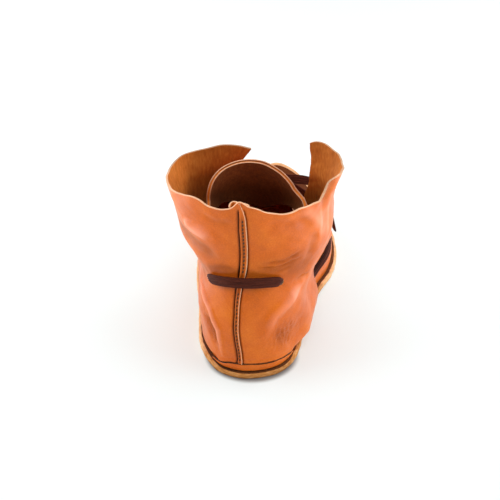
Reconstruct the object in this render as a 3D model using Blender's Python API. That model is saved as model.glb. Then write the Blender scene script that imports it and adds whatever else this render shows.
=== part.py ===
"""Upturned toe shoe, right foot: sole, rand, insole, vamp, shaft, heel strip, tongue and lace.

Metres, +Z up, +Y from heel to toe, +X to the wearer's right. The origin is on the floor under the
middle of the heel. The tables and sizes below are in millimetres.
"""

import math

import bmesh
import bpy
import numpy as np

MM = 0.001

SOLE_THICK = 5.0
GAP = 0.3
LEATHER = 1.5
RAND_THICK = 1.6
MARGIN = 2.8
ARCH_LIFT = 1.5
ARCH_FROM, ARCH_TO = 36.0, 94.0
INSOLE_THICK = 2.2
INSOLE_INSET = 9.2
TONGUE_THICK = 2.6
STRIP_THICK = 1.1
SHAFT_STEPS = 49
LACE_WIDTH = 7.9
LACE_THICK = 2.0

# The toe bends up from here, by an angle that grows along the sole to its full value at the tip.
TOE_FROM = 168.0
TOE_RUN = 92.0
TOE_ANGLE = math.radians(78.0)
TOE_POWER = 1.7

FEATHER = SOLE_THICK + GAP
UPPER_INSET = MARGIN + RAND_THICK + GAP
VAMP_INSET = UPPER_INSET + LEATHER + GAP
BULGE_INSET = 2.3
# The upper swells out over the edge of the sole, or over the rand, between these two heights.
STEP_FROM, STEP_TO = 1.2, 4.2
# Levels of the shaft's lowest rows, above the sole.
FOOT_LEVELS = (0.0, 2.0, 4.0, 6.9, 10.3)
WALL_FROM = FEATHER + 14.5

# Height of the rand, a strip at the back of the heel, along the outline from the heel point.
RAND_COLUMNS = ("along", "height")
RAND_ROWS = (
    (-30.0, 0.8),
    (-24.0, 1.6),
    (-17.0, 3.0),
    (-10.0, 5.6),
    (0.0, 6.5),
    (12.0, 6.2),
    (25.0, 5.4),
    (34.0, 4.2),
    (41.0, 2.6),
    (48.0, 0.8),
)

# On the right the soft upper sags out over the sole: how far, along the shoe and by height.
SAG = 8.0
SAG_BACK, SAG_FRONT = (-18.0, 11.0), (46.0, 88.0)
SAG_FOOT, SAG_TOP = (0.6, 8.0), (18.0, 46.0)

# Outline of the sole on the flat: distance from the heel, and the left and right edges there.
HEEL_POINT = (3.0, -41.3)
OUTLINE_COLUMNS = ("along", "left", "right")
OUTLINE_ROWS = (
    (-37.0, -13.2, 19.0),
    (-29.5, -21.3, 29.2),
    (-18.0, -28.8, 35.8),
    (-2.0, -35.6, 39.2),
    (20.0, -40.3, 40.6),
    (50.0, -45.8, 43.0),
    (80.0, -53.0, 47.6),
    (110.0, -58.2, 55.8),
    (136.0, -60.3, 57.5),
    (164.0, -59.2, 54.0),
)
SOLE_TOE_ROWS = (
    (192.0, -54.5, 47.0),
    (218.0, -45.0, 35.5),
    (240.0, -31.5, 20.5),
    (253.0, -18.5, 6.5),
)
SOLE_TIP = (-6.5, 258.5)
UPPER_TOE_ROWS = (
    (189.0, -53.5, 45.5),
    (207.0, -44.5, 34.5),
    (219.0, -31.0, 20.5),
)
UPPER_TIP = (-6.5, 226.0)

# Level sections of the shaft's outside. Each side runs from the back, round its widest point, to
# the front edge, where aim is the outward turn of the leather in degrees.
SHAFT_COLUMNS = (
    "height",
    "back",
    "left_side",
    "left_at",
    "left_front",
    "left_reach",
    "left_aim",
    "right_side",
    "right_at",
    "right_front",
    "right_reach",
    "right_aim",
)
SHAFT_ROWS = (
    (30.0, -40.0, -36.3, 10.0, -41.3, 41.0, 9.0, 39.3, 9.0, 43.6, 41.0, 6.0),
    (45.0, -39.2, -37.2, 13.0, -41.3, 41.0, 6.0, 41.2, 11.0, 44.8, 40.0, 8.0),
    (60.0, -36.8, -36.8, 22.0, -42.3, 47.0, 3.0, 45.9, 17.0, 51.4, 44.0, 15.0),
    (68.0, -35.2, -37.2, 31.0, -43.6, 53.0, 0.0, 49.4, 24.0, 55.8, 47.0, 20.0),
    (75.0, -34.0, -40.4, 34.0, -43.8, 60.0, -14.0, 53.0, 29.0, 56.8, 53.0, 4.0),
    (82.0, -33.4, -45.2, 35.0, -39.5, 67.0, -36.0, 55.8, 32.0, 51.4, 63.0, -30.0),
    (90.0, -33.4, -50.4, 35.0, -33.0, 72.0, -56.0, 58.2, 33.0, 41.0, 71.0, -58.0),
    (102.0, -34.2, -55.2, 34.0, -26.0, 73.0, -62.0, 58.6, 32.0, 37.2, 72.0, -64.0),
    (114.0, -35.6, -57.7, 33.0, -19.0, 70.5, -68.0, 58.0, 28.0, 38.4, 70.0, -62.0),
    (126.0, -37.2, -61.0, 32.0, -10.5, 67.5, -75.0, 59.8, 24.0, 39.0, 68.0, -62.0),
    (136.0, -38.6, -62.6, 32.0, -4.5, 65.5, -80.0, 63.0, 22.0, 38.2, 66.5, -65.0),
    (148.0, -40.0, -63.4, 32.0, -2.0, 64.5, -80.0, 66.6, 22.0, 37.4, 66.0, -68.0),
)

# Height of the collar, from the left front tip (-1) round the heel seam (0) to the right tip (1).
RIM_COLUMNS = ("round", "height")
RIM_ROWS = (
    (-1.0, 132.0),
    (-0.95, 134.1),
    (-0.9, 135.1),
    (-0.85, 134.5),
    (-0.81, 132.6),
    (-0.76, 131.3),
    (-0.71, 130.7),
    (-0.665, 128.9),
    (-0.62, 128.3),
    (-0.56, 128.4),
    (-0.5, 128.9),
    (-0.43, 129.6),
    (-0.34, 131.4),
    (-0.25, 135.1),
    (-0.19, 137.7),
    (-0.155, 136.7),
    (-0.13, 134.4),
    (-0.095, 133.5),
    (-0.055, 134.1),
    (-0.027, 135.8),
    (0.0, 140.7),
    (0.045, 137.3),
    (0.085, 135.7),
    (0.115, 133.1),
    (0.16, 131.1),
    (0.21, 129.9),
    (0.255, 130.4),
    (0.285, 132.0),
    (0.34, 132.1),
    (0.395, 131.5),
    (0.428, 132.9),
    (0.455, 137.6),
    (0.485, 142.2),
    (0.525, 144.0),
    (0.56, 143.0),
    (0.6, 142.3),
    (0.66, 140.4),
    (0.73, 139.0),
    (0.8, 140.0),
    (0.86, 140.3),
    (0.92, 141.6),
    (0.98, 140.4),
    (1.0, 138.9),
)

# The heel seam wanders: its middle, measured round the shaft, and half its strip's width.
SEAM_COLUMNS = ("height", "middle")
SEAM_ROWS = (
    (16.0, -0.02),
    (30.0, -0.015),
    (48.0, -0.012),
    (60.0, -0.01),
    (72.0, -0.002),
    (83.0, 0.0115),
    (95.0, 0.016),
    (123.0, 0.014),
    (139.0, 0.011),
)
SEAM_HALF = 0.016

# Ridge of the vamp: how far it stands above the sole, and where it runs.
RIDGE_COLUMNS = ("along", "crown", "across")
RIDGE_ROWS = (
    (20.0, 124.0, -2.0),
    (40.0, 113.0, -2.0),
    (60.0, 99.0, -2.0),
    (80.0, 85.0, -3.0),
    (98.0, 72.5, -4.0),
    (120.0, 61.0, -6.0),
    (150.0, 47.0, -8.0),
    (178.0, 37.0, -9.0),
    (198.0, 30.5, -8.5),
    (212.0, 23.0, -7.5),
    (221.0, 13.0, -7.0),
)
THROAT = 98.0
VAMP_BACK = 24.0
THROAT_POWER = 2.2
RISE_POWER = 0.94
SIDE_POWER = 0.78
BELLY = 4.2
VAMP_STEPS = 33

# Tongue: level sections are half ellipses, open to the heel.
TONGUE_COLUMNS = ("height", "middle", "half_width", "depth")
TONGUE_ROWS = (
    (68.0, 65.0, 17.0, 34.5),
    (80.0, 55.5, 24.5, 35.5),
    (97.0, 41.0, 35.0, 37.5),
    (112.0, 29.0, 36.0, 37.5),
    (130.0, 15.5, 36.5, 38.0),
)
# Its edges round the ellipse, in degrees from the middle.
TONGUE_EDGE_COLUMNS = ("turn", "bottom", "top")
TONGUE_EDGE_ROWS = (
    (-88.0, 91.0, 97.0),
    (-70.0, 87.0, 110.8),
    (-52.0, 82.0, 120.2),
    (-30.0, 74.0, 126.6),
    (-9.0, 69.5, 128.9),
    (10.0, 69.5, 127.5),
    (30.0, 74.0, 121.5),
    (48.0, 81.0, 113.4),
    (66.0, 86.0, 105.0),
    (88.0, 91.0, 98.5),
)

# Holes for the lace in the shaft, and the bar between them.
BAR_COLUMNS = ("round", "height", "lift")
BAR_ROWS = (
    (-0.248, 74.2, 0.7),
    (-0.222, 75.0, 1.6),
    (-0.16, 76.2, 2.2),
    (-0.09, 77.4, 2.6),
    (0.0, 78.3, 2.8),
    (0.1, 78.4, 2.8),
    (0.185, 78.0, 2.2),
    (0.232, 77.4, 1.6),
    (0.256, 77.0, 0.7),
)

# Middle lines of the lace, with the way its flat face looks.
ROUTE_COLUMNS = ("x", "y", "z", "face_x", "face_y", "face_z")
RUN_RIGHT_ROWS = (
    (45.6, 45.6, 40.5, 0.95, -0.2, 0.25),
    (48.8, 51.5, 46.4, 0.93, -0.2, 0.3),
    (52.2, 58.0, 51.5, 0.92, -0.15, 0.35),
    (54.0, 65.0, 56.8, 0.9, 0.1, 0.35),
    (52.8, 72.0, 65.8, 0.78, 0.45, 0.4),
    (46.0, 79.0, 76.5, 0.5, 0.75, 0.45),
    (35.0, 84.2, 86.5, 0.25, 0.85, 0.45),
    (21.5, 86.8, 94.2, 0.1, 0.85, 0.5),
)
RUN_LEFT_ROWS = (
    (-42.2, 45.5, 40.5, -0.95, 0.1, 0.3),
    (-45.6, 50.0, 49.0, -0.9, 0.3, 0.3),
    (-49.0, 56.0, 59.5, -0.9, 0.4, 0.2),
    (-49.6, 64.0, 69.5, -0.8, 0.6, 0.15),
    (-44.5, 73.0, 79.5, -0.55, 0.75, 0.35),
    (-34.5, 80.5, 87.0, -0.35, 0.8, 0.45),
    (-20.5, 85.8, 92.4, -0.2, 0.85, 0.45),
    (-9.0, 87.4, 94.4, -0.1, 0.85, 0.5),
)
END_RIGHT_ROWS = (
    (19.9, 90.6, 96.6, 0.0, 0.9, 0.4),
    (29.0, 91.4, 96.4, 0.1, 0.9, 0.4),
    (38.5, 93.2, 93.2, 0.3, 0.85, 0.4),
    (46.5, 96.2, 85.2, 0.6, 0.7, 0.35),
    (51.6, 99.6, 73.0, 0.8, 0.55, 0.25),
    (54.4, 102.6, 60.5, 0.9, 0.4, 0.1),
    (56.2, 105.0, 47.2, 0.92, 0.38, 0.0),
)
END_LEFT_ROWS = (
    (-8.2, 91.0, 96.8, 0.0, 0.9, 0.4),
    (-17.0, 92.0, 97.4, -0.1, 0.9, 0.4),
    (-27.5, 94.5, 94.6, -0.3, 0.85, 0.4),
    (-38.0, 98.5, 87.0, -0.55, 0.75, 0.4),
    (-46.5, 103.5, 74.0, -0.75, 0.6, 0.3),
    (-51.5, 108.0, 60.0, -0.85, 0.5, 0.15),
    (-54.0, 111.5, 46.0, -0.9, 0.42, 0.0),
)
KNOT_MIDDLE = (6.1, 88.6, 96.4)
KNOT_HALF = (13.4, 5.0, 7.2)


def column(columns, rows, name):
    """One named column of a table."""
    return np.array([row[columns.index(name)] for row in rows])


def smooth(columns, rows, name, at):
    """A named column read between its rows by a cubic that passes through them."""
    keys = np.array([row[0] for row in rows])
    values = column(columns, rows, name)
    slopes = np.gradient(values, keys)
    at = np.clip(np.asarray(at, float), keys[0], keys[-1])
    low = np.clip(np.searchsorted(keys, at, side="right") - 1, 0, len(keys) - 2)
    span = keys[low + 1] - keys[low]
    t = (at - keys[low]) / span
    rise = (2 * t**3 - 3 * t**2 + 1) * values[low] + (t**3 - 2 * t**2 + t) * span * slopes[low]
    return rise + (3 * t**2 - 2 * t**3) * values[low + 1] + (t**3 - t**2) * span * slopes[low + 1]


def ease(value, low, high):
    """0 below low, 1 above high, with a soft step between."""
    t = np.clip((np.asarray(value, float) - low) / (high - low), 0.0, 1.0)
    return t * t * (3.0 - 2.0 * t)


def through(points, steps, closed=False):
    """A smooth curve through points, with steps samples to each span."""
    points = np.asarray(points, float)
    count = len(points)
    spans = count if closed else count - 1
    curve = []
    for i in range(spans):
        if closed:
            near = [points[(i + k) % count] for k in (-1, 0, 1, 2)]
        else:
            near = [points[min(max(i + k, 0), count - 1)] for k in (-1, 0, 1, 2)]
            if i == 0:
                near[0] = 2 * near[1] - near[2]
            if i == spans - 1:
                near[3] = 2 * near[2] - near[1]
        knots = [0.0]
        for a, b in zip(near, near[1:]):
            knots.append(knots[-1] + max(np.linalg.norm(b - a), 1e-6) ** 0.5)
        for t in np.linspace(knots[1], knots[2], steps, endpoint=False):
            level = list(near)
            for depth in (1, 2, 3):
                mixed = []
                for j in range(4 - depth):
                    low, high = knots[j], knots[j + depth]
                    if depth == 3:
                        low, high = knots[1], knots[2]
                    share = (t - low) / (high - low)
                    mixed.append((1 - share) * level[j] + share * level[j + 1])
                if depth == 2:
                    low, high = knots[0], knots[2]
                    first = ((high - t) * level[0] + (t - low) * level[1]) / (high - low)
                    low, high = knots[1], knots[3]
                    last = ((high - t) * level[1] + (t - low) * level[2]) / (high - low)
                    mixed = [first, last]
                level = mixed
            curve.append(level[0])
    if not closed:
        curve.append(points[-1])
    return np.array(curve)


def spread(curve, count):
    """The curve read again at count points evenly along it."""
    steps = np.linalg.norm(np.diff(curve, axis=0), axis=1)
    along = np.concatenate([[0.0], np.cumsum(steps)])
    wanted = np.linspace(0.0, along[-1], count)
    return np.stack([np.interp(wanted, along, curve[:, k]) for k in range(curve.shape[1])], axis=1)


def outline_sides(toe_rows, tip, inset, count=220):
    """Left and right edges from heel to toe, moved inward by inset."""
    rows = OUTLINE_ROWS + toe_rows
    along = column(OUTLINE_COLUMNS, rows, "along")
    left = np.stack([column(OUTLINE_COLUMNS, rows, "left"), along], axis=1)
    right = np.stack([column(OUTLINE_COLUMNS, rows, "right"), along], axis=1)
    ring = np.concatenate([[HEEL_POINT], right, [tip], left[::-1]])
    steps = 12
    curve = through(ring, steps, closed=True)
    ahead = np.roll(curve, -1, axis=0) - np.roll(curve, 1, axis=0)
    ahead /= np.linalg.norm(ahead, axis=1)[:, None]
    inward = np.stack([-ahead[:, 1], ahead[:, 0]], axis=1)
    curve = curve + inward * inset
    half = (len(right) + 1) * steps
    right_side = spread(curve[: half + 1], count)
    left_side = spread(np.concatenate([curve[half:], curve[:1]])[::-1], count)
    return left_side, right_side


def bend(points):
    """Flat shoe to true shoe: past TOE_FROM everything turns up round the curve of the toe."""
    points = np.array(points, float)
    run = np.linspace(0.0, TOE_RUN * 1.1, 400)
    angle = TOE_ANGLE * (run / TOE_RUN) ** TOE_POWER
    step = run[1] - run[0]
    forward = np.concatenate([[0.0], np.cumsum(np.cos((angle[1:] + angle[:-1]) / 2)) * step])
    upward = np.concatenate([[0.0], np.cumsum(np.sin((angle[1:] + angle[:-1]) / 2)) * step])
    past = np.clip(points[..., 1] - TOE_FROM, 0.0, run[-1])
    tilt = np.interp(past, run, angle)
    height = points[..., 2].copy()
    base = np.minimum(points[..., 1], TOE_FROM)
    points[..., 1] = base + np.interp(past, run, forward) - height * np.sin(tilt)
    points[..., 2] = np.interp(past, run, upward) + height * np.cos(tilt)
    return points


def normals_of(grid):
    """Unit normals of a grid of points, from its neighbours."""
    down = np.gradient(grid, axis=0)
    across = np.gradient(grid, axis=1)
    normal = np.cross(across, down)
    return normal / np.maximum(np.linalg.norm(normal, axis=2), 1e-9)[..., None]


def add_object(name, work, colour, roughness):
    """Turns a bmesh in millimetres into a named object with its own material."""
    bmesh.ops.remove_doubles(work, verts=work.verts, dist=1e-4)
    bmesh.ops.recalc_face_normals(work, faces=work.faces)
    bmesh.ops.scale(work, vec=(MM, MM, MM), verts=work.verts)
    mesh = bpy.data.meshes.new(name)
    work.to_mesh(mesh)
    work.free()
    made = bpy.data.objects.new(name, mesh)
    bpy.context.scene.collection.objects.link(made)
    material = bpy.data.materials.new(name + "_finish")
    material.use_nodes = True
    shader = material.node_tree.nodes["Principled BSDF"]
    shader.inputs["Base Color"].default_value = (*colour, 1.0)
    shader.inputs["Roughness"].default_value = roughness
    shader.inputs["Metallic"].default_value = 0.0
    mesh.materials.append(material)
    return made


def wall(outer, inner, holes=(), ring=False):
    """A closed wall between two grids of points, with a rim round its edge and round each hole."""
    work = bmesh.new()
    rows, columns = outer.shape[:2]
    skins = []
    for grid in (outer, inner):
        skins.append([[work.verts.new(point) for point in line] for line in grid])
    wide = columns if ring else columns - 1
    cells = {(i, j) for i in range(rows - 1) for j in range(wide)} - set(holes)
    for i, j in cells:
        k = (j + 1) % columns
        corners = ((i, j), (i, k), (i + 1, k), (i + 1, j))
        work.faces.new([skins[0][a][b] for a, b in corners])
        work.faces.new([skins[1][a][b] for a, b in reversed(corners)])
        sides = (
            ((i - 1, j), corners[0], corners[1]),
            ((i, k if ring else j + 1), corners[1], corners[2]),
            ((i + 1, j), corners[2], corners[3]),
            ((i, (j - 1) % columns if ring else j - 1), corners[3], corners[0]),
        )
        for beside, a, b in sides:
            if beside not in cells:
                quad = [skins[0][b[0]][b[1]], skins[0][a[0]][a[1]]]
                quad += [skins[1][a[0]][a[1]], skins[1][b[0]][b[1]]]
                work.faces.new(quad)
    return work


def ladder(left, right, across):
    """Rows of points from a left edge to a right edge."""
    share = np.linspace(0.0, 1.0, across)[None, :, None]
    return left[:, None, :] * (1 - share) + right[:, None, :] * share


def lift(plan, height):
    """Plan points with a height."""
    height = np.broadcast_to(np.asarray(height, float), plan.shape[:-1])
    return np.concatenate([plan, height[..., None]], axis=-1)


def make_sole():
    """One outsole of even leather, hollowed under the arch, with its tip bent up."""
    stations = 40
    turn = np.linspace(0.0, math.pi, stations)
    share = 0.5 - 0.5 * np.cos(turn)
    share = 0.55 * share + 0.45 * np.linspace(0.0, 1.0, stations)
    rings = []
    for inset in (0.5, 0.0, 0.4):
        sides = outline_sides(SOLE_TOE_ROWS, SOLE_TIP, inset)
        picked = [side[np.rint(share * (len(side) - 1)).astype(int)] for side in sides]
        rings.append(picked)
    under = ladder(*rings[0], 6)
    hollow = np.clip((under[..., 1] - ARCH_FROM) / (ARCH_TO - ARCH_FROM), 0.0, 1.0)
    low = bend(lift(under, ARCH_LIFT * np.sin(math.pi * hollow) ** 2))
    high = bend(lift(ladder(*rings[2], 6), SOLE_THICK))
    edge = [bend(lift(side, SOLE_THICK * 0.55)) for side in rings[1]]
    work = bmesh.new()
    top = [[work.verts.new(p) for p in line] for line in high]
    bottom = [[work.verts.new(p) for p in line] for line in low]
    rims = [[work.verts.new(p) for p in side] for side in edge]
    for i in range(stations - 1):
        for j in range(5):
            work.faces.new((top[i][j], top[i][j + 1], top[i + 1][j + 1], top[i + 1][j]))
            work.faces.new((bottom[i][j], bottom[i + 1][j], bottom[i + 1][j + 1], bottom[i][j + 1]))
        for rim, j in ((rims[0], 0), (rims[1], 5)):
            work.faces.new((top[i][j], top[i + 1][j], rim[i + 1], rim[i]))
            work.faces.new((rim[i], rim[i + 1], bottom[i + 1][j], bottom[i][j]))
    bmesh.ops.remove_doubles(work, verts=work.verts, dist=1e-3)
    bmesh.ops.dissolve_degenerate(work, edges=work.edges, dist=1e-3)
    add_object("sole", work, (0.55, 0.28, 0.09), 0.7)


def rand_height(along):
    """Height of the rand at a distance along the outline from the heel point, left below 0."""
    along = np.asarray(along, float)
    height = smooth(RAND_COLUMNS, RAND_ROWS, "height", along)
    outside = (along < RAND_ROWS[0][0]) | (along > RAND_ROWS[-1][0])
    return np.where(outside, 0.0, height)


def sag(along, height):
    """How far the upper sags out on the right, at a place along the shoe and a height off the sole."""
    reach = ease(along, *SAG_BACK) * (1.0 - ease(along, *SAG_FRONT))
    return SAG * reach * ease(height, *SAG_FOOT) * (1.0 - ease(height, *SAG_TOP))


def make_rand():
    """A low strip on edge at the back of the heel, sitting on the sole under the upper."""
    along = np.linspace(RAND_ROWS[0][0], RAND_ROWS[-1][0], 33)
    tall = rand_height(along)
    skin = []
    for inset in (MARGIN, MARGIN + RAND_THICK):
        left, right = outline_sides(UPPER_TOE_ROWS, UPPER_TIP, inset)
        ring = np.concatenate([left[::-1], right[1:]])
        steps = np.linalg.norm(np.diff(ring, axis=0), axis=1)
        place = np.concatenate([[0.0], np.cumsum(steps)])
        place -= place[len(left) - 1]
        shrink = 1.0 - (inset - MARGIN) / 40.0
        line = np.stack([np.interp(along * shrink, place, ring[:, k]) for k in (0, 1)], axis=1)
        skin.append(np.stack([lift(line, FEATHER), lift(line, FEATHER + tall)]))
    add_object("rand", wall(skin[0], skin[1]), (0.62, 0.17, 0.03), 0.5)


def make_insole():
    """A thin sock inside the foot of the upper."""
    left, right = outline_sides(UPPER_TOE_ROWS, UPPER_TIP, INSOLE_INSET)
    share = 0.5 - 0.5 * np.cos(np.linspace(0.0, math.pi, 30))
    picked = [side[np.rint(share * (len(side) - 1)).astype(int)] for side in (left, right)]
    plan = ladder(*picked, 4)
    low = bend(lift(plan, FEATHER))
    high = bend(lift(plan, FEATHER + INSOLE_THICK))
    work = wall(high, low)
    bmesh.ops.remove_doubles(work, verts=work.verts, dist=1e-3)
    bmesh.ops.dissolve_degenerate(work, edges=work.edges, dist=1e-3)
    add_object("insole", work, (0.3, 0.12, 0.04), 0.9)


def quarter_curve(start, side, front, aim, outward, steps=40):
    """One side of a level section: an arc to the widest point, then on to the front edge."""
    hold = 0.56
    middle = np.array(side)
    first = np.array(
        (
            start,
            (start[0] + hold * (side[0] - start[0]), start[1]),
            (side[0], side[1] - hold * (side[1] - start[1])),
            side,
        )
    )
    reach = 0.4 * np.linalg.norm(np.array(front) - middle)
    heading = np.array((outward * math.sin(aim), math.cos(aim)))
    second = np.array((middle, middle + (0.0, reach), np.array(front) - heading * reach, front))
    t = np.linspace(0.0, 1.0, steps)[:, None]
    weights = ((1 - t) ** 3, 3 * t * (1 - t) ** 2, 3 * t * t * (1 - t), t**3)
    arcs = [sum(w * p for w, p in zip(weights, points)) for points in (first, second)]
    return np.concatenate([arcs[0], arcs[1][1:]])


def shaft_table():
    """Plan points of the shaft's outside at many heights, from left front (-1) to right front (1)."""
    heights = np.linspace(FEATHER, SHAFT_ROWS[-1][0], 150)
    half = 61
    table = np.zeros((len(heights), 2 * half - 1, 2))
    feet = {}
    for inset in (UPPER_INSET, BULGE_INSET):
        feet[inset] = outline_sides(UPPER_TOE_ROWS, UPPER_TIP, inset)
    for i, height in enumerate(heights):
        level = max(height, SHAFT_ROWS[0][0])
        row = {name: float(smooth(SHAFT_COLUMNS, SHAFT_ROWS, name, level)) for name in SHAFT_COLUMNS}
        rise = float(ease(height, FEATHER + 6.5, 44.0))
        for number, side in enumerate(("left", "right")):
            outward = (-1.0, 1.0)[number]
            at = (row[side + "_side"], row[side + "_at"])
            front = (row[side + "_front"], row[side + "_reach"])
            aim = math.radians(row[side + "_aim"])
            above = spread(quarter_curve((0.0, row["back"]), at, front, aim, outward), half)
            low, high = feet[UPPER_INSET][number], feet[BULGE_INSET][number]
            steps = np.linalg.norm(np.diff(low, axis=0), axis=1)
            top = FEATHER + rand_height(outward * np.concatenate([[0.0], np.cumsum(steps)]))
            swell = ease(height, top + STEP_FROM, top + STEP_TO)[:, None]
            foot = (1 - swell) * low + swell * high
            foot = spread(foot[foot[:, 1] <= front[1]], half)
            line = (1 - rise) * foot + rise * above
            if number:
                line[:, 0] += sag(line[:, 1], height - FEATHER)
                table[i, half - 1 :] = line
            else:
                table[i, :half] = line[::-1]
    return heights, np.linspace(-1.0, 1.0, 2 * half - 1), table


HEIGHTS, ROUNDS, TABLE = shaft_table()


def on_shaft(round_at, height):
    """Points on the shaft's outside, at a place round it and a height."""
    round_at, height = np.broadcast_arrays(np.asarray(round_at, float), np.asarray(height, float))
    i = (height - HEIGHTS[0]) / (HEIGHTS[1] - HEIGHTS[0])
    j = (round_at - ROUNDS[0]) / (ROUNDS[1] - ROUNDS[0])
    i0 = np.clip(i.astype(int), 0, len(HEIGHTS) - 2)
    j0 = np.clip(j.astype(int), 0, len(ROUNDS) - 2)
    a = np.clip(i - i0, 0.0, 1.0)[..., None]
    b = np.clip(j - j0, 0.0, 1.0)[..., None]
    low = TABLE[i0, j0] * (1 - b) + TABLE[i0, j0 + 1] * b
    high = TABLE[i0 + 1, j0] * (1 - b) + TABLE[i0 + 1, j0 + 1] * b
    return lift(low * (1 - a) + high * a, height)


def out_of_shaft(round_at, height):
    """Outward unit normals of the shaft there."""
    step = 0.02
    tall = 2.0
    sideways = on_shaft(np.minimum(round_at + step, 1.0), height)
    sideways = sideways - on_shaft(np.maximum(round_at - step, -1.0), height)
    upward = on_shaft(round_at, height + tall) - on_shaft(round_at, np.maximum(height - tall, FEATHER))
    normal = np.cross(sideways, upward)
    return normal / np.linalg.norm(normal, axis=-1)[..., None]


def rim_height(round_at):
    """Height of the collar there."""
    return smooth(RIM_COLUMNS, RIM_ROWS, "height", round_at)


def shaft_grid():
    """Places round the shaft and heights for its wall, a row for each level from foot to collar.

    The two columns either side of the heel seam follow it, and the others are spaced between
    these and the front edges.
    """
    half = SHAFT_STEPS // 2
    foot = [FEATHER + level for level in FOOT_LEVELS]
    levels = np.linspace(0.0, 1.0, 19)
    at_seam = np.concatenate([foot, WALL_FROM + levels * (rim_height(0.0) - WALL_FROM)])
    middle = smooth(SEAM_COLUMNS, SEAM_ROWS, "middle", at_seam)
    across = []
    for place in middle:
        left = np.linspace(-1.0, place - SEAM_HALF, half + 1)
        right = np.linspace(place + SEAM_HALF, 1.0, half)
        across.append(np.concatenate([left, right]))
    across = np.array(across)
    heights = np.repeat(at_seam[:, None], SHAFT_STEPS, axis=1)
    body = len(foot)
    rim = rim_height(across[body:])
    heights[body:] = WALL_FROM + levels[:, None] * (rim - WALL_FROM)
    return across, heights


def make_shaft():
    """The quarters as one hollow wall, open at the collar, in front and underneath."""
    across, heights = shaft_grid()
    outer = on_shaft(across, heights)
    inner = outer - out_of_shaft(across, heights) * LEATHER
    holes = []
    for place in (BAR_ROWS[0], BAR_ROWS[-1]):
        middles = (across[:-1, :-1] + across[1:, 1:]) / 2
        levels = (heights[:-1, :-1] + heights[1:, 1:]) / 2
        far = (100.0 * (middles - place[0])) ** 2 + (levels - place[1]) ** 2
        i, j = np.unravel_index(np.argmin(far), far.shape)
        holes.append((int(i), int(j)))
    add_object("shaft", wall(outer, inner, holes), (0.66, 0.17, 0.03), 0.42)


def make_heel_strip():
    """A raised strip over the heel seam, cut between two larger forms of the shaft."""
    seam = SHAFT_STEPS // 2
    across, heights = (grid[len(FOOT_LEVELS) : -1, seam : seam + 2] for grid in shaft_grid())
    skin = on_shaft(across, heights)
    away = out_of_shaft(across, heights)
    work = wall(skin + away * (GAP + STRIP_THICK), skin + away * GAP)
    add_object("heel_strip", work, (0.68, 0.18, 0.03), 0.45)


def vamp_points(stations, inset):
    """Points of the vamp, inset from its outside, in columns from the left foot over to the right."""
    tip = UPPER_TIP[1] - UPPER_INSET - 1.6 * inset
    span = UPPER_TIP[1] - UPPER_INSET
    share = np.abs(np.linspace(-1.0, 1.0, VAMP_STEPS))
    climb = 1.0 - share
    start = VAMP_BACK + (THROAT - VAMP_BACK) * np.sin(climb * math.pi / 2) ** THROAT_POWER
    along = start[None, :] + (tip - start[None, :]) * stations[:, None]
    stretch = TOE_FROM + (along - TOE_FROM) * (span - TOE_FROM) / (tip - TOE_FROM)
    stretch = np.where(along > TOE_FROM, stretch, along)
    mix = ease(along, 47.0, 62.0)
    edges = []
    for number in (0, 1):
        read = []
        for foot in (VAMP_INSET, UPPER_INSET):
            side = outline_sides(UPPER_TOE_ROWS, UPPER_TIP, foot + inset)[number]
            scale = (side[-1, 1] - TOE_FROM) / (tip - TOE_FROM)
            asked = np.where(along > TOE_FROM, TOE_FROM + (along - TOE_FROM) * scale, along)
            read.append(np.interp(asked, side[:, 1], side[:, 0]))
        edges.append((1 - mix) * read[0] + mix * read[1])
    crown = smooth(RIDGE_COLUMNS, RIDGE_ROWS, "crown", stretch)
    last = RIDGE_ROWS[-1]
    past = np.clip((stretch - last[0]) / (span - last[0]), 0.0, 1.0)
    crown = np.where(stretch > last[0], last[1] * np.sqrt(np.maximum(1.0 - past**2, 0.0)), crown)
    crown = np.maximum(crown - inset, 1e-3)
    ridge = smooth(RIDGE_COLUMNS, RIDGE_ROWS, "across", stretch)
    first = np.minimum(STEP_FROM, 0.3 * crown)
    second = np.minimum(STEP_TO, 0.5 * crown)
    step = 2.0 / (VAMP_STEPS - 1)
    low = np.arcsin((second / crown) ** (1 / RISE_POWER))
    angle = low + (math.pi / 2 - low) * np.clip((climb - 2 * step) / (1 - 2 * step), 0.0, 1.0)
    angle = np.where(climb < 1.5 * step, np.arcsin((first / crown) ** (1 / RISE_POWER)), angle)
    angle = np.where(climb < 0.5 * step, 0.0, angle)
    height = crown * np.sin(angle) ** RISE_POWER
    out = np.cos(angle) ** SIDE_POWER
    swell = (UPPER_INSET - BULGE_INSET) * mix * ease(tip - along, 0.0, 30.0)
    swell = swell * ease(height, STEP_FROM, STEP_TO)
    left = np.linspace(-1.0, 1.0, VAMP_STEPS)[None, :] < 0
    edge = np.where(left, edges[0] - swell, edges[1] + swell)
    belly = BELLY * ease(along, 46.0, 68.0) * (1.0 - ease(along, 110.0, 185.0)) * np.sin(2 * angle)
    belly = belly * ease(height, STEP_FROM, 4 * STEP_TO)
    across = ridge + (edge - ridge) * out + np.where(left, -belly, belly + sag(along, height - 1.0))
    points = lift(np.stack([across, along], axis=-1), FEATHER + height)
    points[stations >= 1.0] = (UPPER_TIP[0], tip, FEATHER)
    return bend(points)


def make_vamp():
    """The front of the upper as one hollow wall, open behind at the throat and underneath."""
    stations = np.sin(np.linspace(0.0, math.pi / 2, 20)) ** 0.9
    work = wall(vamp_points(stations, 0.0), vamp_points(stations, LEATHER))
    bmesh.ops.remove_doubles(work, verts=work.verts, dist=1e-3)
    bmesh.ops.dissolve_degenerate(work, edges=work.edges, dist=1e-3)
    add_object("vamp", work, (0.66, 0.17, 0.03), 0.42)


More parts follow.
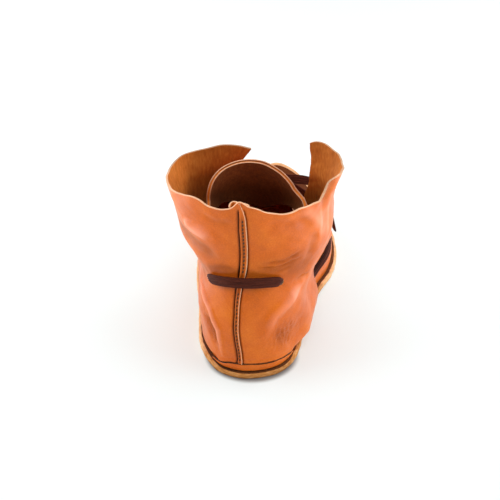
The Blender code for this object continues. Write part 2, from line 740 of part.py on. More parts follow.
def make_tongue():
    """An arched tongue, concave to the heel."""
    turns = np.linspace(TONGUE_EDGE_ROWS[0][0], TONGUE_EDGE_ROWS[-1][0], 19)
    bottom = smooth(TONGUE_EDGE_COLUMNS, TONGUE_EDGE_ROWS, "bottom", turns)
    top = smooth(TONGUE_EDGE_COLUMNS, TONGUE_EDGE_ROWS, "top", turns)
    share = np.linspace(0.0, 1.0, 11)[:, None]
    height = bottom[None, :] + share * (top - bottom)[None, :]
    row = {name: smooth(TONGUE_COLUMNS, TONGUE_ROWS, name, height) for name in TONGUE_COLUMNS}
    angle = np.radians(turns)[None, :]
    across = row["half_width"] * np.sin(angle) - 1.0
    along = row["middle"] + row["depth"] * np.cos(angle)
    plan = np.stack([across, along], axis=-1)
    outer = lift(plan, height)
    normal = normals_of(outer)
    middle = normal[5, 9]
    facing = 1.0 if middle[1] > 0 else -1.0
    add_object("tongue", wall(outer, outer - facing * normal * TONGUE_THICK), (0.4, 0.1, 0.02), 0.6)


def ribbon(name, path, facing, width=LACE_WIDTH):
    """A flat thong with rounded edges along a path, its face turned to facing."""
    ahead = np.gradient(path, axis=0)
    ahead /= np.linalg.norm(ahead, axis=1)[:, None]
    side = np.cross(ahead, facing)
    side /= np.linalg.norm(side, axis=1)[:, None]
    face = np.cross(side, ahead)
    half, thick, round_off = width / 2, LACE_THICK / 2, 0.9
    section = (
        (-half, 0.0),
        (round_off - half, thick),
        (half - round_off, thick),
        (half, 0.0),
        (half - round_off, -thick),
        (round_off - half, -thick),
    )
    work = bmesh.new()
    rings = []
    for point, across, up in zip(path, side, face):
        rings.append([work.verts.new(point + across * a + up * b) for a, b in section])
    for first, second in zip(rings, rings[1:]):
        for k in range(len(section)):
            m = (k + 1) % len(section)
            work.faces.new((first[k], first[m], second[m], second[k]))
    work.faces.new(rings[0])
    work.faces.new(rings[-1])
    add_object(name, work, (0.045, 0.014, 0.008), 0.45)


def make_laces():
    """The bar across the heel, the two runs to the instep, the knot and its two ends."""
    places = through(BAR_ROWS, 8)
    places = spread(places * (100.0, 1.0, 1.0), 26) / (100.0, 1.0, 1.0)
    away = out_of_shaft(places[:, 0], places[:, 1])
    path = on_shaft(places[:, 0], places[:, 1]) + away * (places[:, 2:3] + LACE_THICK / 2)
    ribbon("lace_heel_bar", path, away)
    for name, rows in (
        ("lace_run_right", RUN_RIGHT_ROWS),
        ("lace_run_left", RUN_LEFT_ROWS),
        ("lace_end_right", END_RIGHT_ROWS),
        ("lace_end_left", END_LEFT_ROWS),
    ):
        route = spread(through(rows, 8), 24)
        ribbon(name, route[:, :3], route[:, 3:])
    work = bmesh.new()
    bmesh.ops.create_uvsphere(work, u_segments=16, v_segments=10, radius=1.0)
    bmesh.ops.scale(work, vec=KNOT_HALF, verts=work.verts)
    bmesh.ops.translate(work, vec=KNOT_MIDDLE, verts=work.verts)
    add_object("lace_knot", work, (0.045, 0.014, 0.008), 0.45)


def main():
    """Clears the scene and builds every piece."""
    for old in list(bpy.data.objects):
        bpy.data.objects.remove(old, do_unlink=True)
    make_sole()
    make_rand()
    make_insole()
    make_shaft()
    make_heel_strip()
    make_vamp()
    make_tongue()
    make_laces()


main()
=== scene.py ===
"""Upturned toe shoe, right foot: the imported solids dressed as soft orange-tan leather.

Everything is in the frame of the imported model: +Z up, +Y from heel to toe, +X to the wearer's
right, and the origin on the floor under the middle of the heel. Tables and sizes are in
millimetres, and become metres when a mesh is made.
"""

import logging
import math
from dataclasses import dataclass, field
from enum import Enum

import bpy
import numpy as np
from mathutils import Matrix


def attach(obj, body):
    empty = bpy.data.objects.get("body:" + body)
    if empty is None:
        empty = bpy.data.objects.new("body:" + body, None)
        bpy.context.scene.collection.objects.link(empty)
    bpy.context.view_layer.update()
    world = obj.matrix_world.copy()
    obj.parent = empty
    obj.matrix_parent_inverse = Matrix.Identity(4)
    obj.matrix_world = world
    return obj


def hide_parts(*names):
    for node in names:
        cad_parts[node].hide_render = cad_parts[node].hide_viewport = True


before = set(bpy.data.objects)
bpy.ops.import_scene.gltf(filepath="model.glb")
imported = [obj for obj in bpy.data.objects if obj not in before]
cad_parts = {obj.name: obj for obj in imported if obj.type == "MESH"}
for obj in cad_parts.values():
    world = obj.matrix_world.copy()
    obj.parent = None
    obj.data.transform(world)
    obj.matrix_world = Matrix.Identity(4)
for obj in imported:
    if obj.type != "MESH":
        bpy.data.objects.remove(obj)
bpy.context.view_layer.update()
LOG = logging.getLogger("shoe")
MM = 0.001
# When a mesh is closed, points nearer than this become one, and edges shorter than this go, in millimetres.
MERGED = 0.002
VANISHING = 0.0001
Array = np.ndarray
Point = tuple[float, ...]


@dataclass(frozen=True)
class Table:
    """A short table with named columns, the first of which is its key.

    Attributes:
        columns: Names of the columns.
        rows: Rows in the order of the key.
    """

    columns: tuple[str, ...]
    rows: tuple[Point, ...]

    def column(self, name: str) -> Array:
        """One named column."""
        return np.array([row[self.columns.index(name)] for row in self.rows])

    def read(self, name: str, at: Array | float) -> Array:
        """Reads a column between its rows by a cubic that passes through them.

        Args:
            name: Name of the column.
            at: Keys to read it at.

        Returns:
            One value for each key.
        """
        keys, values = self.column(self.columns[0]), self.column(name)
        slopes = np.gradient(values, keys)
        at = np.clip(np.asarray(at, float), keys[0], keys[-1])
        low = np.clip(np.searchsorted(keys, at, side="right") - 1, 0, len(keys) - 2)
        span = keys[low + 1] - keys[low]
        t = (at - keys[low]) / span
        start = (2 * t**3 - 3 * t**2 + 1) * values[low] + (t**3 - 2 * t**2 + t) * span * slopes[low]
        return start + (3 * t**2 - 2 * t**3) * values[low + 1] + (t**3 - t**2) * span * slopes[low + 1]


# The sole's outline on the flat, from the heel on, with the toe of the sole and of the upper.
OUTLINE_COLUMNS = ("along", "left", "right")
HEEL_POINT = (3.0, -41.3)
OUTLINE_ROWS = (
    (-37.0, -13.2, 19.0),
    (-29.5, -21.3, 29.2),
    (-18.0, -28.8, 35.8),
    (-2.0, -35.6, 39.2),
    (20.0, -40.3, 40.6),
    (50.0, -45.8, 43.0),
    (80.0, -53.0, 47.6),
    (110.0, -58.2, 55.8),
    (136.0, -60.3, 57.5),
    (164.0, -59.2, 54.0),
)
SOLE_OUTLINE = Table(
    OUTLINE_COLUMNS,
    OUTLINE_ROWS
    + ((192.0, -54.5, 47.0), (218.0, -45.0, 37.0), (240.0, -31.5, 23.0), (253.0, -18.5, 9.0)),
)
SOLE_TIP = (-6.5, 258.5)
UPPER_OUTLINE = Table(
    OUTLINE_COLUMNS,
    OUTLINE_ROWS + ((189.0, -53.5, 45.5), (207.0, -44.5, 34.5), (219.0, -31.0, 20.5)),
)
UPPER_TIP = (-6.5, 226.0)

# Height of the rand, a strip at the back of the heel, along the outline from the heel point.
RAND = Table(
    ("along", "height"),
    (
        (-30.0, 0.8),
        (-24.0, 1.6),
        (-17.0, 3.0),
        (-10.0, 5.6),
        (0.0, 6.5),
        (12.0, 6.2),
        (25.0, 5.4),
        (34.0, 4.2),
        (41.0, 2.6),
        (48.0, 0.8),
    ),
)

# Level sections of the shaft: each side runs from the back, round its widest point, to its front.
SHAFT_SECTIONS = Table(
    (
        "height",
        "back",
        "left_side",
        "left_at",
        "left_front",
        "left_reach",
        "left_aim",
        "right_side",
        "right_at",
        "right_front",
        "right_reach",
        "right_aim",
    ),
    (
        (30.0, -40.0, -36.3, 10.0, -41.3, 41.0, 9.0, 39.3, 9.0, 43.6, 41.0, 6.0),
        (45.0, -39.2, -37.2, 13.0, -41.3, 41.0, 6.0, 41.0, 11.0, 43.8, 40.0, 8.0),
        (60.0, -36.8, -36.8, 22.0, -42.3, 47.0, 3.0, 45.4, 17.0, 50.0, 44.0, 15.0),
        (68.0, -35.2, -37.2, 31.0, -43.6, 53.0, 0.0, 49.2, 24.0, 55.0, 47.0, 20.0),
        (75.0, -34.0, -40.4, 34.0, -43.8, 60.0, -14.0, 53.0, 29.0, 56.8, 53.0, 4.0),
        (82.0, -33.4, -45.6, 35.0, -39.5, 67.0, -36.0, 55.8, 32.0, 43.5, 64.0, -34.0),
        (90.0, -33.4, -51.8, 35.0, -33.0, 72.0, -56.0, 58.2, 33.0, 35.0, 72.0, -62.0),
        (102.0, -34.2, -55.2, 34.0, -26.0, 73.0, -62.0, 58.6, 32.0, 37.2, 72.0, -64.0),
        (114.0, -35.6, -57.7, 33.0, -19.0, 70.5, -68.0, 58.0, 28.0, 38.4, 70.0, -62.0),
        (126.0, -37.2, -61.0, 32.0, -10.5, 67.5, -75.0, 59.8, 24.0, 39.0, 68.0, -62.0),
        (136.0, -38.6, -62.6, 32.0, -4.5, 65.5, -80.0, 63.0, 22.0, 38.2, 66.5, -65.0),
        (148.0, -40.0, -63.4, 32.0, -2.0, 64.5, -80.0, 66.6, 22.0, 37.4, 66.0, -68.0),
    ),
)

# Height of the collar, from the left front tip (-1) round the heel seam (0) to the right tip (1).
RIM = Table(
    ("round", "height"),
    (
        (-1.0, 132.7),
        (-0.95, 134.9),
        (-0.9, 135.9),
        (-0.85, 135.3),
        (-0.81, 133.4),
        (-0.76, 132.1),
        (-0.71, 131.4),
        (-0.665, 129.4),
        (-0.62, 128.3),
        (-0.56, 128.4),
        (-0.5, 128.9),
        (-0.43, 129.6),
        (-0.34, 131.4),
        (-0.25, 135.1),
        (-0.19, 137.7),
        (-0.155, 136.7),
        (-0.13, 134.4),
        (-0.095, 133.5),
        (-0.055, 134.1),
        (-0.027, 135.8),
        (0.0, 140.7),
        (0.045, 137.3),
        (0.085, 135.7),
        (0.115, 133.1),
        (0.16, 131.1),
        (0.21, 129.9),
        (0.255, 130.4),
        (0.285, 132.0),
        (0.34, 132.1),
        (0.395, 131.1),
        (0.412, 130.7),
        (0.428, 132.6),
        (0.455, 137.6),
        (0.485, 142.2),
        (0.525, 144.0),
        (0.56, 143.0),
        (0.6, 142.8),
        (0.66, 141.2),
        (0.73, 139.9),
        (0.8, 140.9),
        (0.86, 141.2),
        (0.92, 142.4),
        (0.98, 141.2),
        (1.0, 139.6),
    ),
)

# The heel seam wanders. Its strip is this wide to each side, and narrows to a point at the collar.
SEAM = Table(
    ("height", "middle", "half"),
    (
        (12.0, -0.024, 0.016),
        (30.0, -0.021, 0.016),
        (48.0, -0.019, 0.016),
        (60.0, -0.016, 0.016),
        (72.0, -0.004, 0.016),
        (83.0, 0.013, 0.016),
        (95.0, 0.019, 0.016),
        (120.0, 0.018, 0.0165),
        (130.0, 0.0155, 0.0135),
        (141.0, 0.003, 0.003),
    ),
)

# Ends of the seam's inner leather at the collar: the left one makes a loop, the right one a fold.
CURL_LEFT_ROWS = (
    (-0.6, -37.2, 139.4),
    (-0.4, -35.4, 139.0),
    (-2.0, -33.2, 138.8),
    (-4.4, -32.4, 138.5),
    (-6.4, -34.2, 137.8),
    (-6.9, -36.6, 136.6),
)
CURL_RIGHT_ROWS = (
    (0.2, -37.0, 139.4),
    (1.4, -35.8, 138.8),
    (3.6, -35.7, 138.4),
    (5.8, -36.5, 138.0),
    (6.7, -38.0, 137.2),
)

# Ridge of the vamp: how far it stands above the sole, and where it runs.
RIDGE = Table(
    ("along", "crown", "across"),
    (
        (20.0, 124.0, -2.0),
        (40.0, 113.0, -2.0),
        (60.0, 99.0, -2.0),
        (80.0, 85.0, -3.0),
        (98.0, 72.5, -4.0),
        (120.0, 61.0, -6.0),
        (150.0, 47.0, -8.0),
        (178.0, 37.0, -9.0),
        (198.0, 30.5, -8.5),
        (212.0, 23.0, -7.5),
        (221.0, 13.0, -7.0),
    ),
)

# Tongue: level half ellipses open to the heel, and its edges round them in degrees.
TONGUE_SECTIONS = Table(
    ("height", "middle", "half_width", "depth"),
    (
        (68.0, 65.0, 17.0, 34.5),
        (80.0, 55.5, 24.5, 35.5),
        (97.0, 41.0, 35.0, 37.5),
        (112.0, 29.0, 36.0, 37.5),
        (130.0, 15.5, 36.5, 38.0),
    ),
)
TONGUE_EDGES = Table(
    ("turn", "bottom", "top"),
    (
        (-100.0, 88.0, 95.0),
        (-88.0, 88.0, 98.0),
        (-70.0, 87.0, 110.8),
        (-52.0, 82.0, 120.2),
        (-30.0, 74.0, 126.6),
        (-9.0, 69.5, 128.9),
        (10.0, 69.5, 127.5),
        (30.0, 74.0, 121.5),
        (48.0, 81.0, 113.4),
        (66.0, 86.0, 105.0),
        (88.0, 91.0, 98.5),
    ),
)

# The lace: the bar across the heel on the shaft, and the routes in front, with the way they face.
BAR_ROWS = (
    (-0.235, 72.8, 0.7),
    (-0.21, 74.2, 1.6),
    (-0.16, 75.8, 2.2),
    (-0.09, 77.4, 2.6),
    (0.0, 78.3, 2.8),
    (0.1, 78.4, 2.8),
    (0.185, 77.6, 2.2),
    (0.228, 76.4, 1.6),
    (0.248, 75.2, 0.7),
)
RUN_RIGHT_ROWS = (
    (45.8, 45.6, 42.4, 0.95, -0.2, 0.25),
    (49.8, 51.5, 47.0, 0.93, -0.2, 0.3),
    (53.2, 58.0, 51.5, 0.92, -0.15, 0.35),
    (54.8, 65.0, 56.6, 0.9, 0.1, 0.35),
    (52.8, 72.0, 65.8, 0.78, 0.45, 0.4),
    (46.0, 79.0, 76.5, 0.5, 0.75, 0.45),
    (35.0, 84.2, 86.5, 0.25, 0.85, 0.45),
    (21.5, 86.8, 94.2, 0.1, 0.85, 0.5),
)
RUN_LEFT_ROWS = (
    (-41.0, 45.5, 40.5, -0.95, 0.1, 0.3),
    (-43.4, 50.0, 49.0, -0.9, 0.3, 0.3),
    (-46.6, 56.0, 59.5, -0.9, 0.4, 0.2),
    (-48.0, 64.0, 69.5, -0.8, 0.6, 0.15),
    (-44.5, 73.0, 79.5, -0.55, 0.75, 0.35),
    (-34.5, 80.5, 87.0, -0.35, 0.8, 0.45),
    (-20.5, 85.8, 92.4, -0.2, 0.85, 0.45),
    (-9.0, 87.4, 94.4, -0.1, 0.85, 0.5),
)
END_RIGHT_ROWS = (
    (19.9, 90.6, 96.6, 0.0, 1.0, 0.0),
    (29.0, 91.4, 96.4, 0.1, 1.0, 0.0),
    (38.5, 93.2, 93.6, 0.3, 0.95, 0.1),
    (46.5, 96.2, 85.2, 0.6, 0.7, 0.35),
    (50.4, 99.6, 73.0, 0.8, 0.55, 0.25),
    (53.4, 102.6, 60.5, 0.9, 0.4, 0.1),
    (56.2, 105.0, 47.2, 0.92, 0.38, 0.0),
)
END_LEFT_ROWS = (
    (-8.2, 91.0, 96.8, 0.0, 0.9, 0.4),
    (-17.0, 92.0, 97.4, -0.1, 0.9, 0.4),
    (-27.5, 94.5, 94.6, -0.3, 0.85, 0.4),
    (-38.0, 98.5, 87.0, -0.55, 0.75, 0.4),
    (-46.5, 103.5, 74.0, -0.75, 0.6, 0.3),
    (-51.5, 108.0, 60.0, -0.85, 0.5, 0.15),
    (-54.0, 111.5, 46.0, -0.9, 0.42, 0.0),
)
KNOT_MIDDLE = (6.1, 88.6, 96.4)
# Where the two routes in front come from, under the flaps' front edges.
TUCK_RIGHT_ROWS = ((42.3, 33.4, 40.8, 0.96, -0.15, 0.25), (43.3, 39.0, 40.6, 0.96, -0.15, 0.25))
TUCK_LEFT_ROWS = ((-37.6, 33.0, 41.2, -0.98, -0.1, 0.1), (-38.9, 39.2, 40.4, -0.98, -0.05, 0.2))
# The lace inside the shaft, from the heel holes to the flaps: places round the shaft, and heights.
INNER_LEFT_ROWS = (
    (-0.25, 74.3),
    (-0.33, 71.0),
    (-0.47, 62.0),
    (-0.66, 51.0),
    (-0.86, 43.5),
    (-0.985, 40.6),
)
INNER_RIGHT_ROWS = (
    (0.258, 77.0),
    (0.33, 73.0),
    (0.47, 63.0),
    (0.66, 51.5),
    (0.86, 43.5),
    (0.985, 40.6),
)


def ease(value: Array | float, low: float, high: float) -> Array:
    """A soft step from 0 at low to 1 at high."""
    t = np.clip((np.asarray(value, float) - low) / (high - low), 0.0, 1.0)
    return t * t * (3.0 - 2.0 * t)


def between(value: Array | float, rise: Point, fall: Point) -> Array:
    """A soft plateau, up to 1 over the span rise and down again over the span fall."""
    return ease(value, *rise) * (1.0 - ease(value, *fall))


def bell(value: Array | float, wide: float) -> Array:
    """A soft bump of height 1 at 0 that fades to each side over a width."""
    return np.exp(-((value / wide) ** 2))


def distances(line: Array) -> Array:
    """Distance of each point of a line from the first, along the line."""
    return np.cumsum(np.linalg.norm(np.diff(line, axis=0, prepend=line[:1]), axis=1))


def through(points: Array | tuple, steps: int, closed: bool = False) -> Array:
    """Draws a smooth curve through points.

    Args:
        points: The points, in order.
        steps: Samples to each span.
        closed: Whether the curve comes back to its first point.

    Returns:
        The curve's points, with the last one where the curve is open.
    """
    points = np.asarray(points, float)
    count = len(points)
    curve = []
    for i in range(count if closed else count - 1):
        if closed:
            a, b, c, d = (points[(i + k) % count] for k in (-1, 0, 1, 2))
        else:
            b, c = points[i], points[i + 1]
            a = points[i - 1] if i else 2 * b - c
            d = points[i + 2] if i + 2 < count else 2 * c - b
        gaps = [max(np.linalg.norm(q - p), 1e-6) ** 0.5 for p, q in ((a, b), (b, c), (c, d))]
        k = np.concatenate([[0.0], np.cumsum(gaps)])
        t = np.linspace(k[1], k[2], steps, endpoint=False)[:, None]
        ab = ((k[1] - t) * a + (t - k[0]) * b) / (k[1] - k[0])
        bc = ((k[2] - t) * b + (t - k[1]) * c) / (k[2] - k[1])
        cd = ((k[3] - t) * c + (t - k[2]) * d) / (k[3] - k[2])
        abc = ((k[2] - t) * ab + (t - k[0]) * bc) / (k[2] - k[0])
        bcd = ((k[3] - t) * bc + (t - k[1]) * cd) / (k[3] - k[1])
        curve.append(((k[2] - t) * abc + (t - k[1]) * bcd) / (k[2] - k[1]))
    if not closed:
        curve.append(points[-1:])
    return np.concatenate(curve)


def spread(curve: Array, count: int) -> Array:
    """Reads a curve again at evenly spaced points.

    Args:
        curve: Points along the curve; only the first three columns count as distance.
        count: Points wanted.

    Returns:
        The new points, with all the curve's columns.
    """
    along = distances(curve[:, :3])
    wanted = np.linspace(0.0, along[-1], count)
    return np.stack([np.interp(wanted, along, line) for line in curve.T], axis=1)


def unit(vectors: Array) -> Array:
    """Vectors of length one."""
    return vectors / np.maximum(np.linalg.norm(vectors, axis=-1), 1e-9)[..., None]


def lift(plan: Array, height: Array | float) -> Array:
    """Plan points with a height."""
    height = np.broadcast_to(np.asarray(height, float), plan.shape[:-1])
    return np.concatenate([plan, height[..., None]], axis=-1)


def normals_of(grid: Array) -> Array:
    """Unit normals of a grid of points, on the side that its faces will look to."""
    return unit(np.cross(np.gradient(grid, axis=1), np.gradient(grid, axis=0)))


def waves(u: Array, v: Array, length: float, seed: int) -> Array:
    """Soft unevenness between about -1 and 1 over a surface.

    Args:
        u: First place on the surface, in millimetres.
        v: Second place.
        length: Usual distance between two bumps.
        seed: Which of the many patterns.

    Returns:
        One height for each place.
    """
    pick = np.random.default_rng(seed)
    total = np.zeros(np.broadcast(u, v).shape)
    for _ in range(9):
        turn, phase = pick.uniform(0.0, 2 * math.pi, 2)
        reach = length * pick.uniform(0.7, 1.6)
        total += np.sin(2 * math.pi * (u * math.cos(turn) + v * math.sin(turn)) / reach + phase)
    return total / 4.0


def hexed(code: str) -> tuple[float, float, float, float]:
    """A linear colour from an sRGB hex value."""
    parts = [int(code[k : k + 2], 16) / 255 for k in (1, 3, 5)]
    return (*(p / 12.92 if p <= 0.04045 else ((p + 0.055) / 1.055) ** 2.4 for p in parts), 1.0)


def add_node(tree: bpy.types.NodeTree, kind: str, inputs: dict | None = None, **settings) -> bpy.types.Node:
    """Adds a node with its settings and links.

    Args:
        tree: The material's nodes.
        kind: Blender's name for the node.
        inputs: Values or sockets for its inputs, by name or number.
        **settings: Its own options.

    Returns:
        The node.
    """
    made = tree.nodes.new(kind)
    for key, value in settings.items():
        setattr(made, key, value)
    for key, value in (inputs or {}).items():
        if isinstance(value, bpy.types.NodeSocket):
            tree.links.new(value, made.inputs[key])
        else:
            made.inputs[key].default_value = value
    return made


# What a mesh's marks do to its finish. A fold of CREASE_SPAN millimetres up or down paints shade into its
# trough, or light onto its ridge, over all of the first range below, and within the second range a raised
# one takes on up to the share after it of the rubbed tone, which is partly a painted sheen highlight.
CREASE_SPAN = 3.0
CREASE_SHADE_LIGHT = (0.62, 1.26)
RUBBED_SHEEN_SPAN = (0.6, 3.2)
RUBBED_SHEEN_MOST = 0.75
# Most that the shade mark darkens, as painted shade.
SHADE_MOST = 0.9
# Wrinkles of coarsened grain, against the grain itself: how many to a length, and how deep.
WRINKLE_RATE = 0.42
WRINKLE_DEPTH = 13.0


class Surface(Enum):
    """How a leather's surface was left: its pebbled grain, or cut and rubbed fibres."""

    PEBBLE = "pebble"
    FIBRE = "fibre"


class Follow(Enum):
    """What a pattern follows: the shoe's own axes or the length of the piece."""

    SHOE = "Object"
    PIECE = "UV"


@dataclass(frozen=True)
class Finish:
    """A leather or thread finish.

    Attributes:
        name: Name of the material.
        dark: Deepest tone, as sRGB hex.
        middle: Usual tone.
        light: Palest tone.
        surface: Whether its relief is grain or fibre.
        pitch: Size of a grain or fibre along each axis, in millimetres, or where the pattern follows
            the piece, how many of them there are along each axis of its map.
        depth: Depth of the relief, in millimetres.
        rough: Lowest and highest roughness.
        patch: Size of the soft patches of tone, in millimetres.
        rubbed: Tone of its raised and stretched places, partly a painted sheen highlight, and of places its
            marks make paler; the palest tone where none is named.
        gloss: Strength of its own reflection, 0.5 for a plain solid.
        coat: Weight of the polished top coat.
        sheen: Weight of the nap that catches light at a glance.
        shade: Name of the attribute that paints shade on it.
        follow: What the pattern follows.
    """

    name: str
    dark: str
    middle: str
    light: str
    surface: Surface
    pitch: Point
    depth: float
    rough: tuple[float, float]
    patch: float = 26.0
    rubbed: str = ""
    gloss: float = 0.25
    coat: float = 0.0
    sheen: float = 0.0
    shade: str = "shade"
    follow: Follow = Follow.SHOE

    def material(self) -> bpy.types.Material:
        """Makes the material, once.

        The attributes crease, shade and coarse on a mesh paint shade into troughs and light onto ridges,
        with the rubbed tone on raised places; paint lines and patches of shade, dulling the reflection
        there; and coarsen the grain. A mesh without them has none of these.

        Returns:
            The material.
        """
        made = bpy.data.materials.get(self.name)
        if made:
            return made
        made = bpy.data.materials.new(self.name)
        made.use_nodes = True
        tree = made.node_tree
        shader = tree.nodes["Principled BSDF"]
        place = add_node(tree, "ShaderNodeTexCoord").outputs[self.follow.value]
        marks = {}
        for mark in ("crease", self.shade, "coarse"):
            marks[mark] = add_node(tree, "ShaderNodeAttribute", attribute_name=mark).outputs["Fac"]
        scale = tuple(1.0 / (size * MM) for size in self.pitch)
        if self.follow is Follow.PIECE:
            scale = self.pitch
        fine = add_node(tree, "ShaderNodeMapping", {"Vector": place, "Scale": scale}).outputs[0]
        wide = (1.0 / (self.patch * MM),) * 3
        broad = add_node(tree, "ShaderNodeMapping", {"Vector": place, "Scale": wide}).outputs[0]
        patches = add_node(
            tree,
            "ShaderNodeTexNoise",
            {"Vector": broad, "Scale": 1.0, "Detail": 5.0, "Roughness": 0.55},
        ).outputs[0]
        if self.surface is Surface.PEBBLE:
            cells = add_node(
                tree, "ShaderNodeTexVoronoi", {"Vector": fine, "Scale": 1.0}, feature="SMOOTH_F1"
            ).outputs["Distance"]
        else:
            cells = add_node(
                tree,
                "ShaderNodeTexNoise",
                {"Vector": fine, "Scale": 1.0, "Detail": 4.0, "Roughness": 0.6},
            ).outputs[0]
        share = 0.25 if self.surface is Surface.PEBBLE else 0.6
        tone = add_node(
            tree, "ShaderNodeMix", {0: share, 2: patches, 3: cells}, data_type="FLOAT"
        ).outputs[0]
        ramp = add_node(tree, "ShaderNodeValToRGB", {"Fac": tone})
        stops = ramp.color_ramp.elements
        stops[0].position, stops[0].color = 0.32, hexed(self.dark)
        stops[1].position, stops[1].color = 0.68, hexed(self.light)
        middle = stops.new(0.5)
        middle.color = hexed(self.middle)
        # Painted shade in the troughs of folds and painted light on their ridges.
        lit = add_node(
            tree,
            "ShaderNodeMapRange",
            {
                "Value": marks["crease"],
                "From Min": -CREASE_SPAN,
                "From Max": CREASE_SPAN,
                "To Min": CREASE_SHADE_LIGHT[0],
                "To Max": CREASE_SHADE_LIGHT[1],
            },
        ).outputs[0]
        # Raised places take the rubbed tone: stretched paler, and partly a painted sheen highlight.
        raised = add_node(
            tree,
            "ShaderNodeMapRange",
            {
                "Value": marks["crease"],
                "From Min": RUBBED_SHEEN_SPAN[0],
                "From Max": RUBBED_SHEEN_SPAN[1],
                "To Max": RUBBED_SHEEN_MOST,
            },
        ).outputs[0]
        worn = add_node(
            tree,
            "ShaderNodeMix",
            {0: raised, 6: ramp.outputs[0], 7: hexed(self.rubbed or self.light)},
            data_type="RGBA",
        ).outputs[2]
        # Painted shade from the shade mark darkens it, below the crease mark's painted light and shade.
        value = add_node(
            tree,
            "ShaderNodeMath",
            {0: marks[self.shade], 1: -SHADE_MOST, 2: lit},
            operation="MULTIPLY_ADD",
        ).outputs[0]
        colour = add_node(tree, "ShaderNodeHueSaturation", {"Color": worn, "Value": value}).outputs[0]
        tree.links.new(colour, shader.inputs["Base Color"])
        rough = add_node(
            tree,
            "ShaderNodeMapRange",
            {
                "Value": patches,
                "From Min": 0.3,
                "From Max": 0.7,
                "To Min": self.rough[0],
                "To Max": self.rough[1],
            },
        ).outputs[0]
        tree.links.new(rough, shader.inputs["Roughness"])
        sparse = tuple(rate * WRINKLE_RATE for rate in scale)
        big = add_node(tree, "ShaderNodeMapping", {"Vector": place, "Scale": sparse}).outputs[0]
        wrinkles = add_node(
            tree,
            "ShaderNodeTexNoise",
            {"Vector": big, "Scale": 1.0, "Detail": 3.0, "Distortion": 1.6},
        ).outputs[0]
        coarse = add_node(
            tree, "ShaderNodeMath", {0: wrinkles, 1: marks["coarse"]}, operation="MULTIPLY"
        ).outputs[0]
        first = add_node(
            tree,
            "ShaderNodeBump",
            {"Height": coarse, "Distance": self.depth * WRINKLE_DEPTH * MM, "Strength": 1.0},
        ).outputs[0]
        relief = add_node(
            tree,
            "ShaderNodeBump",
            {"Height": cells, "Distance": self.depth * MM, "Strength": 1.0, "Normal": first},
        ).outputs[0]
        tree.links.new(relief, shader.inputs["Normal"])
        # Where shade is painted, the reflection is dulled too.
        dull = add_node(
            tree,
            "ShaderNodeMath",
            {0: 1.0, 1: marks[self.shade]},
            operation="SUBTRACT",
            use_clamp=True,
        ).outputs[0]
        tree.links.new(dull, shader.inputs["Specular Tint"])
        plain = {
            "Specular IOR Level": self.gloss,
            "Coat Weight": self.coat,
            "Coat Roughness": 0.3,
            "Sheen Weight": self.sheen,
            "Sheen Roughness": 0.35,
            "Sheen Tint": hexed("#ffb894"),
        }
        for socket, level in plain.items():
            shader.inputs[socket].default_value = level
        return made


# Full-grain cow leather, drum dyed and lightly waxed: satin, warm, paler where it is stretched, and pinker
# on raised places with a painted sheen highlight.
UPPER = Finish(
    "waxed_grain_leather",
    "#ca5a0a",
    "#dc680e",
    "#e87718",
    Surface.PEBBLE,
    (0.9, 0.9, 0.9),
    0.1,
    (0.33, 0.47),
    rubbed="#dc8f74",
    gloss=0.22,
    coat=0.1,
    sheen=0.12,
)
# Its flesh side, left rough: matt brown with streaks that run up the leather.
FLESH = Finish(
    "rough_flesh_side",
    "#bd6722",
    "#da7c2d",
    "#f0943e",
    Surface.FIBRE,
    (1.8, 1.8, 7.0),
    0.16,
    (0.82, 0.95),
    shade="inner_shade",
)
# Knife-cut edge of the same leather: pale undyed fibre.
CUT = Finish(
    "raw_cut_edge",
    "#e0a276",
    "#eeb78e",
    "#f8d0b2",
    Surface.FIBRE,
    (0.8, 0.8, 0.8),
    0.08,
    (0.75, 0.9),
)
# The tongue's inner leather, its flesh side painted darker for the shade inside the shoe.
SHADED_FLESH = Finish(
    "shade_darkened_flesh_side",
    "#784424",
    "#91542b",
    "#aa6634",
    Surface.FIBRE,
    (1.8, 1.8, 7.0),
    0.16,
    (0.82, 0.95),
)
# The tongue's cut edges, worn but still pale.
WORN_CUT = Finish(
    "worn_cut_edge",
    "#d79c74",
    "#ebb48c",
    "#f7cba8",
    Surface.FIBRE,
    (0.8, 0.8, 0.8),
    0.08,
    (0.75, 0.9),
)
# Thick vegetable-tanned sole leather, its edge cut by hand: tan fibres that lie lengthwise.
SOLE_EDGE = Finish(
    "raw_sole_edge",
    "#9c5a20",
    "#d08a45",
    "#f0bd84",
    Surface.FIBRE,
    (5.0, 5.0, 0.8),
    0.2,
    (0.75, 0.92),
    patch=9.0,
    rubbed="#f8d6b0",
)
# The same leather's stained top, whose dark also paints the shade in the groove round the upper, redder
# inside the turned-up tip, and its scuffed underside.
SOLE_TOP = Finish(
    "stained_and_shaded_sole_top",
    "#40220c",
    "#5a3212",
    "#76451a",
    Surface.PEBBLE,
    (1.0, 1.0, 1.0),
    0.05,
    (0.55, 0.75),
    rubbed="#5e2a08",
)
SOLE_UNDER = Finish(
    "scuffed_sole_underside",
    "#a56b35",
    "#bd8248",
    "#d3a068",
    Surface.FIBRE,
    (1.4, 6.0, 1.4),
    0.1,
    (0.6, 0.85),
    patch=18.0,
)
# Latigo thong, dyed through and pulled: dark brown with fine lines along its length.
THONG = Finish(
    "dark_latigo_thong",
    "#2e0f08",
    "#4b1d10",
    "#68301f",
    Surface.FIBRE,
    (44.0, 5.0, 1.0),
    0.16,
    (0.55, 0.68),
    gloss=0.12,
    follow=Follow.PIECE,
)
# Waxed linen thread.
THREAD = Finish(
    "waxed_linen_thread",
    "#3c1e0c",
    "#4c2a10",
    "#5e3818",
    Surface.FIBRE,
    (0.5, 0.5, 0.5),
    0.1,
    (0.5, 0.65),
)


